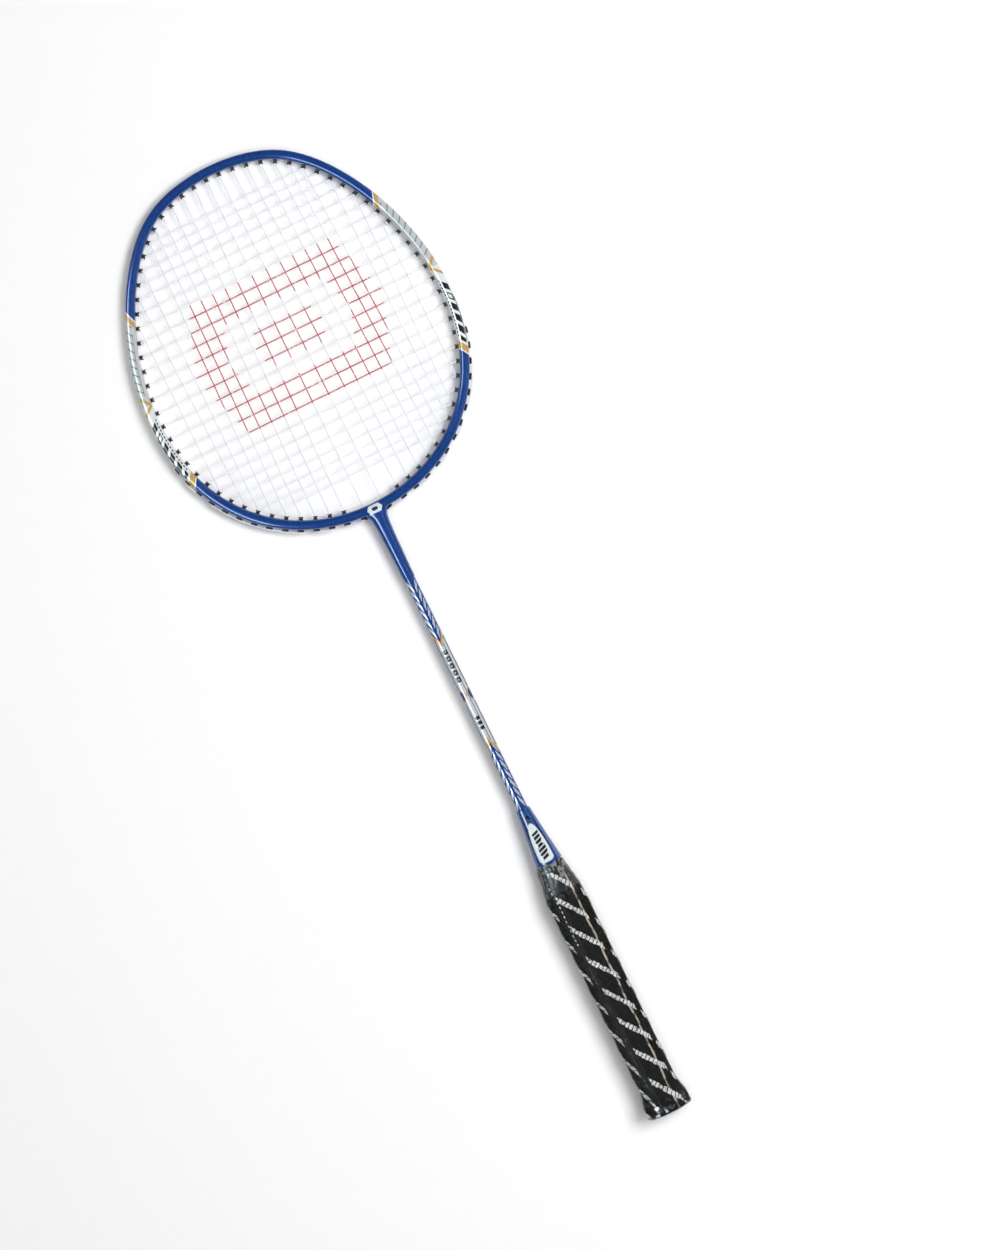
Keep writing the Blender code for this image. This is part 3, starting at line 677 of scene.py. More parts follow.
@dataclass(frozen=True)
class FilmFinish:
    """Thin clear polypropylene film shrunk over the grip, printed in rows of plain white dashes.

    It gives the eye wet, broken highlights along its wrinkles over the black below, and whitish patches where
    it is gathered at the top, partly painted glare. A painted highlight runs as a pale line along one front
    edge, and white dots of painted glare lie beside the other edge and near the butt.
    """

    ink: str = "#D5D8DA"
    haze: str = "#8C8E90"
    # the colour of the painted highlight along the right front edge
    edge_glint: str = "#A79C8E"
    dust: str = "#8A847A"
    row_pitch: float = 21.6
    dash_pitch: float = 2.6
    patches: tuple[tuple[float, float, float, float], ...] = (  # x, y, half width, half height
        (4.6, 171.0, 1.5, 1.8),
        (4.1, 166.6, 1.4, 1.7),
        (-5.4, 172.6, 1.8, 1.0),
    )
    # White dots near the butt on the left: painted glare.
    glare_spots: tuple[tuple[float, float, float, float], ...] = (
        (-8.4, 2.8, 1.6, 1.0),
        (-7.2, 7.4, 1.9, 1.2),
    )

    def finish(self) -> bpy.types.Material:
        """Builds the film.

        Returns:
            The material.
        """
        s = Surface("clear polypropylene film, printed and shrunk")
        x, y, z = s.axes()
        drift = s.mix_of([(x, 1.0), (y, 0.0214)], -3.3)
        along = s.mix_of([(drift, -0.594), (y, 0.805), (z, 0.9)], 500.0)
        front = s.mix_of([(y, 1.0), (drift, 1.356)])
        front_row = self._row(s, front, along, 16.5, s.band(drift, -6.1, 7.3))
        left = s.mix_of([(y, 1.0), (drift, 1.827), (z, 0.6)])
        left_row = self._row(s, left, along, -1.8, s.band(drift, -20.0, -10.2))
        right = s.mix_of([(y, 1.0), (x, 0.9), (z, -0.6)])
        right_row = self._row(s, right, along, 5.9, s.band(x, 11.0, 20.0))
        broken_ink = s.add("Math", s.grain(0.75, 2.0), 0.44, operation="GREATER_THAN")
        rows = s.either(front_row, left_row, right_row)
        printed = s.every(rows, s.spread(broken_ink, 0.0, 1.0, 0.12, 1.0), s.band(y, 2.5, 171.0))
        wander = s.spread(s.grain(16.0, 2.0), 0.3, 0.7, -0.5, 0.5)
        wavy_x = s.add("Math", x, wander, operation="ADD")
        patchy = s.spread(s.grain(2.2, 4.0, (1.2, 0.5, 1.2)), 0.36, 0.54, 0.35, 1.0)
        # A pale beige line along the right front edge of the octagon, on the front face only: a painted
        # highlight where that edge catches the light.
        edge_glint = s.every(s.band(wavy_x, 5.8, 7.0), s.band(y, 1.0, 166.0), s.band(z, 0.0, 30.0), patchy)
        fold = s.every(s.either(s.band(x, -4.35, -4.05), s.band(x, -8.15, -7.85)), s.band(y, 1.0, 170.0))
        # White dashes beside the left front edge near the top: painted glare.
        beside = s.band(wavy_x, -6.8, -6.2)
        dotted = s.every(s.stripes(y, 3.3, 1.5, 0.0), beside, s.band(y, 122.0, 168.0), patchy)
        # Along the creases near the top the film is painted whitish: partly the gathered film itself, partly
        # painted glare on the creases.
        creased = s.grain(3.0, 6.0, (1.6, 0.8, 1.6))
        milky_and_glare = s.every(s.spread(creased, 0.49, 0.58, 0.0, 1.0), s.spread(y, 150.0, 168.0, 0.10, 0.95))
        clouded = s.spread(s.grain(3.2, 4.0), 0.52, 0.60, 0.0, 1.0)
        low_haze = s.every(clouded, s.spread(y, 2.0, 16.0, 0.65, 0.0))
        haze = s.either(milky_and_glare, low_haze, s.every(fold, 0.4))
        patch = s.either(*[self._spot(s, x, y, *place) for place in self.patches])
        # Glare is painted highlight, drawn in the ink's white over the film.
        glare = s.either(dotted, *[self._spot(s, x, y, *place) for place in self.glare_spots])
        colour = s.painted(
            linear("#070708"),
            [
                (haze, linear(self.haze)),
                (patch, linear(self.dust)),
                (edge_glint, linear(self.edge_glint)),
                (s.either(printed, glare), linear(self.ink)),
            ],
        )
        veil = s.every(s.spread(s.grain(1.1, 5.0), 0.52, 0.70, 0.0, 1.0), 0.08)
        alpha = s.either(s.every(haze, 0.8), s.every(patch, 0.8), edge_glint, printed, glare, veil)
        crease = s.grain(3.4, 6.0, (1.2, 0.40, 1.2))
        ripple = s.relief(s.grain(0.9, 4.0), 0.10, s.relief(crease, 0.55))
        return s.shade(
            Base_Color=s.painted(colour, [(s.every(veil, 1.0), linear("#3A3635"))]),
            Alpha=alpha,
            Roughness=s.spread(s.grain(1.2, 3.0), 0.3, 0.7, 0.12, 0.28),
            IOR=1.49,
            Specular_IOR_Level=0.6,
            Coat_Weight=0.6,
            Coat_Roughness=0.06,
            Normal=ripple,
        )

    def _spot(self, s: Surface, x: Any, y: Any, at_x: float, at_y: float, wide: float, high: float) -> Any:
        """A ragged spot on the film, for the white dots of painted glare and for the patches of dust.

        Args:
            s: the surface.
            x: its X field.
            y: its Y field.
            at_x: the spot's centre across.
            at_y: the spot's centre along.
            wide: half its width.
            high: half its height.

        Returns:
            A mask with a ragged edge.
        """
        dx = s.mix_of([(x, 1 / wide)], -at_x / wide)
        dy = s.mix_of([(y, 1 / high)], -at_y / high)
        reach = s.mix_of([(s.grain(1.4, 3.0), 1.4), (s.every(dx, dx), 1.0), (s.every(dy, dy), 1.0)], -0.7)
        return s.add("Math", reach, 0.8, operation="LESS_THAN")

    def _row(self, s: Surface, across: Any, along: Any, first: float, where: Any) -> Any:
        """One family of rows of dashes of uneven height.

        Args:
            s: the surface.
            across: the field that the rows lie across.
            along: the field that runs along a row.
            first: where one of the rows lies.
            where: the part of the film that holds them.

        Returns:
            A mask.
        """
        place = s.add("Math", along, self.dash_pitch, operation="SNAP")
        height = s.add("TexWhiteNoise", named={"W": place}, noise_dimensions="1D")
        half = s.spread(height, 0.0, 1.0, 1.7, 2.8)
        off_line = s.size_of(s.repeated(across, self.row_pitch, first))
        near = s.add("Math", off_line, half, operation="LESS_THAN")
        dashes = s.stripes(along, self.dash_pitch, self.dash_pitch * 0.74, self.dash_pitch / 2)
        return s.every(near, dashes, where)


@dataclass(frozen=True)
class TapeFinish:
    """Black vinyl finishing tape, stretched on.

    It gives the eye a smooth black with fine lengthwise stretch lines.
    """

    def finish(self) -> bpy.types.Material:
        """Builds the tape.

        Returns:
            The material.
        """
        s = Surface("black vinyl tape, stretched")
        lines = s.grain(1.0, 4.0, (1, 6, 1))
        rub = s.spread(s.grain(4.0, 4.0), 0.5, 0.7, 0.0, 0.5)
        colour = s.painted(linear("#141516"), [(rub, linear("#33342F"))])
        roughness = s.mix_of([(lines, 0.2)], 0.30)
        return s.shade(Base_Color=colour, Roughness=roughness, IOR=1.52, Normal=s.relief(lines, 0.05))


@dataclass(frozen=True)
class BeechFinish:
    """Turned and planed beech of the handle's core, under everything else.

    It gives the eye a pale pinkish tan with short dark flecks along the grain.
    """

    def finish(self) -> bpy.types.Material:
        """Builds the wood.

        Returns:
            The material.
        """
        s = Surface("beech, planed")
        grain = s.grain(1.4, 5.0, (1, 0.06, 1))
        fleck = s.spread(s.grain(0.7, 2.0, (1, 0.2, 1)), 0.58, 0.66, 0.0, 0.6)
        rings = s.spread(grain, 0.35, 0.65, 0.0, 0.7)
        colour = s.painted(linear("#C9A27A"), [(rings, linear("#B0845A")), (fleck, linear("#7E5432"))])
        roughness = s.mix_of([(grain, 0.2)], 0.5)
        return s.shade(Base_Color=colour, Roughness=roughness, IOR=1.5, Normal=s.relief(grain, 0.05))


@dataclass(frozen=True)
class CapFinish:
    """Moulded black ABS of the butt cap.

    It gives the eye a satin black with the fine spark texture of its mould.
    """

    def finish(self) -> bpy.types.Material:
        """Builds the plastic.

        Returns:
            The material.
        """
        s = Surface("black ABS, spark-textured")
        spark = s.grain(0.5, 3.0)
        dust = s.spread(s.grain(5.0, 5.0), 0.5, 0.75, 0.0, 0.4)
        colour = s.painted(linear("#131416"), [(dust, linear("#35373A"))])
        roughness = s.mix_of([(spark, 0.2), (dust, 0.15)], 0.38)
        return s.shade(Base_Color=colour, Roughness=roughness, IOR=1.53, Normal=s.relief(spark, 0.03))


@dataclass(frozen=True)
class FloorFinish:
    """Matt white painted board.

    It gives the eye a plain pale ground that only takes the soft shadow.
    """

    def finish(self) -> bpy.types.Material:
        """Builds the board.

        Returns:
            The material.
        """
        s = Surface("white board, matt painted")
        tooth = s.grain(3.0, 3.0)
        colour = s.painted(linear("#FBFBFB"), [(s.spread(tooth, 0.3, 0.7, 0.0, 0.06), linear("#F0F0F2"))])
        return s.shade(Base_Color=colour, Roughness=s.mix_of([(tooth, 0.05)], 0.9), Specular_IOR_Level=0.1)


# ---------------------------------------------------------------- meshes


def place_mesh(
    name: str,
    points: Sequence[Vector],
    faces: Sequence[Sequence[int]],
    stored: dict[str, Sequence[float]] | None = None,
) -> bpy.types.Object:
    """Makes a smooth-shaded object from points and faces.

    Args:
        name: the piece's name.
        points: its vertices in metres.
        faces: vertex numbers of each face.
        stored: numbers kept on the vertices for the patterns.

    Returns:
        The object, linked into the scene.
    """
    mesh = bpy.data.meshes.new(name)
    mesh.from_pydata([tuple(p) for p in points], [], faces)
    for key, values in (stored or {}).items():
        mesh.attributes.new(key, "FLOAT", "POINT").data.foreach_set("value", list(values))
    made = bpy.data.objects.new(name, mesh)
    bpy.context.scene.collection.objects.link(made)
    square_up(made)
    return made


def square_up(piece: bpy.types.Object, sharp_degrees: float = 40.0) -> None:
    """Turns a piece's faces outwards and shades them smooth.

    Args:
        piece: the piece.
        sharp_degrees: edges that bend more than this stay sharp.
    """
    bm = bmesh.new()
    bm.from_mesh(piece.data)
    bmesh.ops.recalc_face_normals(bm, faces=bm.faces)
    bm.to_mesh(piece.data)
    bm.free()
    piece.data.shade_smooth()
    piece.data.set_sharp_from_angle(angle=math.radians(sharp_degrees))


def skin_faces(rows: int, columns: int, first: int = 0, loop: bool = False) -> list[list[int]]:
    """Faces over a run of closed rings of equal length.

    Args:
        rows: how many rings there are.
        columns: how many points each has.
        first: the number of the first ring's first vertex.
        loop: whether the last ring joins the first; otherwise both ends are closed.

    Returns:
        Vertex numbers of each face.
    """
    faces = []
    for row in range(rows if loop else rows - 1):
        near, far = first + row * columns, first + (row + 1) % rows * columns
        for i in range(columns):
            after = (i + 1) % columns
            faces.append([near + i, near + after, far + after, far + i])
    if not loop:
        faces.append([first + i for i in reversed(range(columns))])
        faces.append([first + (rows - 1) * columns + i for i in range(columns)])
    return faces


def soften(points: Sequence[tuple[float, float]], rounds: int) -> list[tuple[float, float]]:
    """Cuts the corners off a closed outline.

    Args:
        points: its corners.
        rounds: how many times they are cut.

    Returns:
        A smoother outline inside the first.
    """
    found = list(points)
    for _ in range(rounds):
        cut = []
        for (x0, z0), (x1, z1) in zip(found, found[1:] + found[:1]):
            cut += [(x0 * t + x1 * (1 - t), z0 * t + z1 * (1 - t)) for t in (0.75, 0.25)]
        found = cut
    return found


def ease(share: float) -> float:
    """A share from 0 to 1 that starts and ends gently."""
    share = min(1.0, max(0.0, share))
    return share * share * (3 - 2 * share)


def lathe_rings(
    centre: Vector,
    axis: Vector,
    across: Vector,
    up: Vector,
    profile: Sequence[tuple[float, float, float]],
    sides: int,
) -> list[Vector]:
    """Rings of points round an axis.

    Args:
        centre: a point on the axis.
        axis: its direction.
        across: the direction of the first half width.
        up: the direction of the second half width.
        profile: distance along the axis and both half widths of each ring.
        sides: points in each ring.

    Returns:
        The points, ring by ring.
    """
    points = []
    for reach, half_across, half_up in profile:
        for i in range(sides):
            angle = math.tau * i / sides
            side = across * (half_across * math.cos(angle)) + up * (half_up * math.sin(angle))
            points.append(centre + axis * reach + side)
    return points


def turned_rings(profile: Sequence[tuple[float, float, float]], sides: int) -> list[Vector]:
    """Rings of points round the racket's own axis."""
    return lathe_rings(Vector(), ALONG, ACROSS, UP, profile, sides)


def give(piece: bpy.types.Object, material: bpy.types.Material, slot: str, *nodes: str) -> bpy.types.Object:
    """Dresses a piece and ties it to the frame.

    Args:
        piece: the finished mesh.
        material: its finish.
        slot: the record's material slot; not used.
        nodes: the CAD nodes that it stands for.

    Returns:
        The piece.
    """
    piece.data.materials.clear()
    piece.data.materials.append(material)
    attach(piece, "root")
    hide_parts(*nodes)
    log.info("%s: %d faces, %s", piece.name, len(piece.data.polygons), material.name)
    return piece


# ---------------------------------------------------------------- head


@dataclass(frozen=True)
class HeadOutline:
    """The head's outline, as its tangent lines' distance from its centre, and its string holes."""

    total_length: float = 670 * MM
    halvings: int = 40  # of the interval in which an angle is looked for
    terms: tuple[float, ...] = (  # cosine waves: none, one, two ... round the head
        115.1 * MM,
        -1.0 * MM,
        8.85 * MM,
        2.4 * MM,
        -1.2 * MM,
        -0.85 * MM,
        -0.35 * MM,
    )
    holes: int = 36
    last_grooved: int = 22
    hole_line: float = -7.3 * MM
    first_hole: float = 4.4 * MM
    next_to_throat: float = 18.9 * MM
    inner_edge: float = -6.4 * MM
    throat_inner_x: float = 6.3 * MM
    throat_outer_x: float = 8.6 * MM

    @property
    def centre_y(self) -> float:
        """The height of the head's centre."""
        return self.total_length - sum(self.terms)

    def centre_point(self) -> Vector:
        """The head's centre."""
        return Vector((0.0, self.centre_y, 0.0))

    def point(self, angle: float, offset: float, z: float = 0.0) -> Vector:
        """A point outside or inside the outline.

        Args:
            angle: how far its outward normal leans from +Y towards +X.
            offset: how far outside the outline it is.
            z: its height.

        Returns:
            The point.
        """
        reach = offset + sum(size * math.cos(k * angle) for k, size in enumerate(self.terms))
        slope = sum(-k * size * math.sin(k * angle) for k, size in enumerate(self.terms))
        x = reach * math.sin(angle) + slope * math.cos(angle)
        y = reach * math.cos(angle) - slope * math.sin(angle)
        return Vector((x, self.centre_y + y, z))

    def arc_to(self, angle: float, offset: float) -> float:
        """The length of the offset outline from the tip to an angle."""
        waves = sum(s * (1 - k * k) / k * math.sin(k * angle) for k, s in enumerate(self.terms) if k > 0)
        return (self.terms[0] + offset) * angle + waves

    def angle_at(self, arc: float, offset: float) -> float:
        """The angle where the offset outline has run a given length from the tip.

        Args:
            arc: the length.
            offset: how far outside the outline it is measured.

        Returns:
            The angle in radians.
        """
        low, high = 0.0, math.pi
        for _ in range(self.halvings):
            middle = (low + high) / 2
            if self.arc_to(middle, offset) < arc:
                low = middle
            else:
                high = middle
        return (low + high) / 2

    def hole_angle(self, number: int) -> float:
        """The angle of a hole's axis on the right half, counted from the tip.

        Args:
            number: the hole, which is 1 next to the tip.

        Returns:
            The angle in radians.
        """
        half = self.arc_to(math.pi, self.hole_line)
        pitch = (half - self.first_hole - self.next_to_throat) / (self.holes - 2)
        return self.angle_at(self.first_hole + pitch * (number - 1), self.hole_line)

    def hole_axis(self, number: int, side: Side) -> tuple[Vector, Vector]:
        """Where a hole leaves the outline and its outward direction.

        Args:
            number: the hole, counted from the tip.
            side: which half it is on.

        Returns:
            The point and the direction.
        """
        if number < self.holes:
            angle = side.value * self.hole_angle(number)
            return self.point(angle, 0.0), Vector((math.sin(angle), math.cos(angle), 0.0))
        bottom_y = self.point(math.pi, 0.0).y
        outer = Vector((side.value * self.throat_outer_x, bottom_y, 0.0))
        inner = Vector((side.value * self.throat_inner_x, bottom_y - self.inner_edge, 0.0))
        return outer, (outer - inner).normalized()

    def along_hole(self, number: int, side: Side, distance: float) -> Vector:
        """The point on a hole's axis this far outside the outline."""
        start, direction = self.hole_axis(number, side)
        return start + direction * distance


@dataclass
class Hoop:
    """The enamelled aluminium tube of the head, with a groove round its upper part."""

    outline: HeadOutline
    paint: EnamelFinish
    end_arc: float = 13.0 * MM
    groove_depth: float = 2.0 * MM
    groove_fade: float = 9.0 * MM
    step: float = 1.0 * MM
    half_section: tuple[tuple[float, float], ...] = (
        (-0.10 * MM, 2.75 * MM),
        (-0.60 * MM, 4.25 * MM),
        (-2.60 * MM, 5.20 * MM),
        (-4.90 * MM, 4.90 * MM),
        (-6.35 * MM, 3.20 * MM),
        (-6.50 * MM, 1.20 * MM),
    )

    def section(self, groove: float) -> list[tuple[float, float]]:
        """The smooth outline of the tube.

        Args:
            groove: how deep its groove is here.

        Returns:
            Offsets and heights, all round.
        """
        floor = [(-groove - 0.02 * MM, 0.9 * MM), (-groove, 1.75 * MM), (-0.15 * MM, 1.95 * MM)]
        upper = [*floor, *self.half_section]
        return soften(upper + [(offset, -z) for offset, z in reversed(upper)], 2)

    def build(self) -> bpy.types.Object:
        """Sweeps the tube from one end of the throat joint round to the other.

        Returns:
            The piece.
        """
        outline = self.outline
        half = outline.arc_to(math.pi, 0.0)
        last_groove = outline.arc_to(outline.hole_angle(outline.last_grooved), 0.0) + self.groove_fade
        count = int((half - self.end_arc) / self.step)
        points, turns, offsets = [], [], []
        for i in range(-count, count + 1):
            arc = (half - self.end_arc) * i / count
            angle = math.copysign(outline.angle_at(abs(arc), 0.0), arc)
            groove = self.groove_depth * ease((last_groove - abs(arc)) / self.groove_fade)
            for offset, z in self.section(groove):
                point = outline.point(angle, offset, z)
                points.append(point)
                turns.append(math.degrees(math.atan2(point.x, point.y - outline.centre_y)))
                offsets.append(offset / MM)
        rows = 2 * count + 1
        faces = skin_faces(rows, len(points) // rows)
        piece = place_mesh("hoop", points, faces, {"turn_deg": turns, "across_mm": offsets})
        paint = self.paint.finish("enamelled aluminium, blue with printed trim", self.paint.hoop_trim)
        return give(piece, paint, "frame_paint", "head_frame")


@dataclass
class ThroatJoint:
    """The crossbar that closes the hoop and the neck that holds the shaft, blended into one moulding."""

    hoop: Hoop
    paint: EnamelFinish
    bar_half: float = 13.45 * MM
    bar_steps: int = 40
    voxel: float = 0.42 * MM
    smoothing: int = 9
    sides: int = 40
    neck: tuple[tuple[float, float, float], ...] = (
        (378.0 * MM, 3.80 * MM, 3.80 * MM),
        (378.6 * MM, 4.05 * MM, 4.05 * MM),
        (390.0 * MM, 4.25 * MM, 4.20 * MM),
        (400.0 * MM, 4.50 * MM, 4.40 * MM),
        (410.0 * MM, 4.85 * MM, 4.60 * MM),
        (417.0 * MM, 5.20 * MM, 4.80 * MM),
        (421.0 * MM, 5.70 * MM, 4.90 * MM),
        (424.0 * MM, 6.90 * MM, 4.90 * MM),
        (426.5 * MM, 9.40 * MM, 4.70 * MM),
        (428.6 * MM, 9.60 * MM, 4.20 * MM),
    )

    def build(self) -> bpy.types.Object:
        """Joins bar and neck, remeshes them as one skin and rounds the inside corners.

        Returns:
            The piece.
        """
        outline = self.hoop.outline
        half = outline.arc_to(math.pi, 0.0)
        section = self.hoop.section(0.0)
        points = []
        for i in range(self.bar_steps + 1):
            past = self.bar_half * (2 * i / self.bar_steps - 1)
            angle = outline.angle_at(half - abs(past), 0.0)
            angle = math.tau - angle if past > 0 else angle
            points += [outline.point(angle, offset, z) for offset, z in section]
        faces = skin_faces(self.bar_steps + 1, len(section))
        first = len(points)
        points += turned_rings(self.neck, self.sides)
        faces += skin_faces(len(self.neck), self.sides, first)
        piece = place_mesh("throat_joint", points, faces)
        remesh = piece.modifiers.new("one skin", "REMESH")
        remesh.mode = "VOXEL"
        remesh.voxel_size = self.voxel
        rounding = piece.modifiers.new("rounded corners", "SMOOTH")
        rounding.factor = 0.5
        rounding.iterations = self.smoothing
        evaluated = piece.evaluated_get(bpy.context.evaluated_depsgraph_get())
        finished = bpy.data.meshes.new_from_object(evaluated)
        piece.modifiers.clear()
        piece.data = finished
        piece.data.shade_smooth()
        paint = self.paint.finish("enamelled joint, blue", self.paint.joint_trim)
        return give(piece, paint, "joint_paint", "t_joint")


@dataclass
class Grommets:
    """The black nylon barrels that line the holes: one strip on each upper half, single ones below."""

    outline: HeadOutline
    nylon: bpy.types.Material
    sides: int = 16
    strip_floor: float = -1.75 * MM
    strip_top: float = -1.25 * MM
    strip_half_width: float = 1.35 * MM
    strip_step: float = 1.5 * MM
    strip_start: float = 0.3 * MM
    strip_overhang: float = 1.7 * MM
    throat_barrel_end: float = -6.9
    flare: float = 0.16  # how far the mouth is drawn out, as a share and in millimetres
    flare_start: float = 7.3
    flare_run: float = 1.2
    lip_start: float = 7.9
    lip_run: float = 0.6
    barrel: tuple[tuple[float, float], ...] = (
        (-5.90, 1.52),
        (-6.70, 1.50),
        (-6.95, 1.34),
        (-7.35, 1.16),
        (-7.75, 1.18),
        (-8.15, 1.36),
        (-8.45, 1.42),
        (-8.58, 1.28),
        (-8.52, 0.85),
        (-8.00, 0.62),
        (-5.90, 0.62),
    )
    head: tuple[tuple[float, float, float], ...] = (
        (-0.60, 1.30, 1.20),
        (-0.15, 2.05, 1.45),
        (0.35, 2.25, 1.60),
        (0.90, 2.20, 1.55),
        (1.15, 1.90, 1.30),
        (1.20, 1.20, 0.85),
        (0.90, 0.70, 0.62),
        (-0.60, 0.62, 0.62),
    )

    def barrel_points(self, number: int, side: Side) -> tuple[list[Vector], list[list[int]]]:
        """The waisted inner end of one barrel, whose mouth is split in two lips.

        Args:
            number: the hole.
            side: which half it is on.

        Returns:
            Points and faces.
        """
        start, axis = self.outline.hole_axis(number, side)
        across = axis.cross(UP)
        throat = number == self.outline.holes
        profile = [(max(d, self.throat_barrel_end) if throat else d, r) for d, r in self.barrel]
        points = []
        for reach, radius in profile:
            flare = self.flare * ease((-reach - self.flare_start) / self.flare_run)
            for i in range(self.sides):
                angle = math.tau * i / self.sides
                size = radius * (1 + flare * math.cos(2 * angle)) * MM
                lip = self.flare * MM * ease((-reach - self.lip_start) / self.lip_run) * math.cos(2 * angle)
                point = start + axis * (reach * MM - lip)
                points.append(point + across * (size * math.cos(angle)) + UP * (size * math.sin(angle)))
        return points, skin_faces(len(profile), self.sides, loop=True)

    def head_points(self, number: int, side: Side) -> tuple[list[Vector], list[list[int]]]:
        """The oblong head of one barrel on the outside of the hoop.

        Args:
            number: the hole.
            side: which half it is on.

        Returns:
            Points and faces.
        """
        start, axis = self.outline.hole_axis(number, side)
        across = axis.cross(UP)
        profile = [(d * MM, a * MM, u * MM) for d, a, u in self.head]
        points = lathe_rings(start, axis, across, UP, profile, self.sides)
        return points, skin_faces(len(profile), self.sides, loop=True)

    def band_points(self, side: Side) -> tuple[list[Vector], list[list[int]]]:
        """The flat band that joins the barrels along the groove.

        Args:
            side: which half it is on.

        Returns:
            Points and faces.
        """
        outline = self.outline
        end = outline.arc_to(outline.hole_angle(outline.last_grooved), 0.0) + self.strip_overhang
        count = int(end / self.strip_step)
        section = soften(
            [
                (self.strip_floor, -self.strip_half_width),
                (self.strip_floor, self.strip_half_width),
                (self.strip_top, self.strip_half_width),
                (self.strip_top, -self.strip_half_width),
            ],
            1,
        )
        points = []
        for i in range(count + 1):
            arc = self.strip_start + (end - self.strip_start) * i / count
            angle = side.value * outline.angle_at(arc, 0.0)
            points += [outline.point(angle, offset, z) for offset, z in section]
        return points, skin_faces(count + 1, len(section))

    def piece(self, name: str, node: str, parts: Sequence[tuple[list[Vector], list[list[int]]]]) -> None:
        """Makes one piece from several shells.

        Args:
            name: the piece's name.
            node: the CAD node that it stands for.
            parts: the points and faces of each shell.
        """
        points: list[Vector] = []
        faces: list[list[int]] = []
        for part_points, part_faces in parts:
            faces += [[len(points) + v for v in face] for face in part_faces]
            points += part_points
        give(place_mesh(name, points, faces), self.nylon, "grommet_nylon", node)

    def build(self) -> None:
        """Makes both strips and every single grommet."""
        for side in Side:
            word = side.name.lower()
            upper = range(1, self.outline.last_grooved + 1)
            barrels = [self.barrel_points(number, side) for number in upper]
            self.piece(f"strip_{word}", f"grommet_strip_{word}", [self.band_points(side), *barrels])
            for number in range(self.outline.last_grooved + 1, self.outline.holes + 1):
                parts = [self.barrel_points(number, side), self.head_points(number, side)]
                self.piece(f"eyelet_{word}_{number}", f"grommet_{word}_{number}", parts)


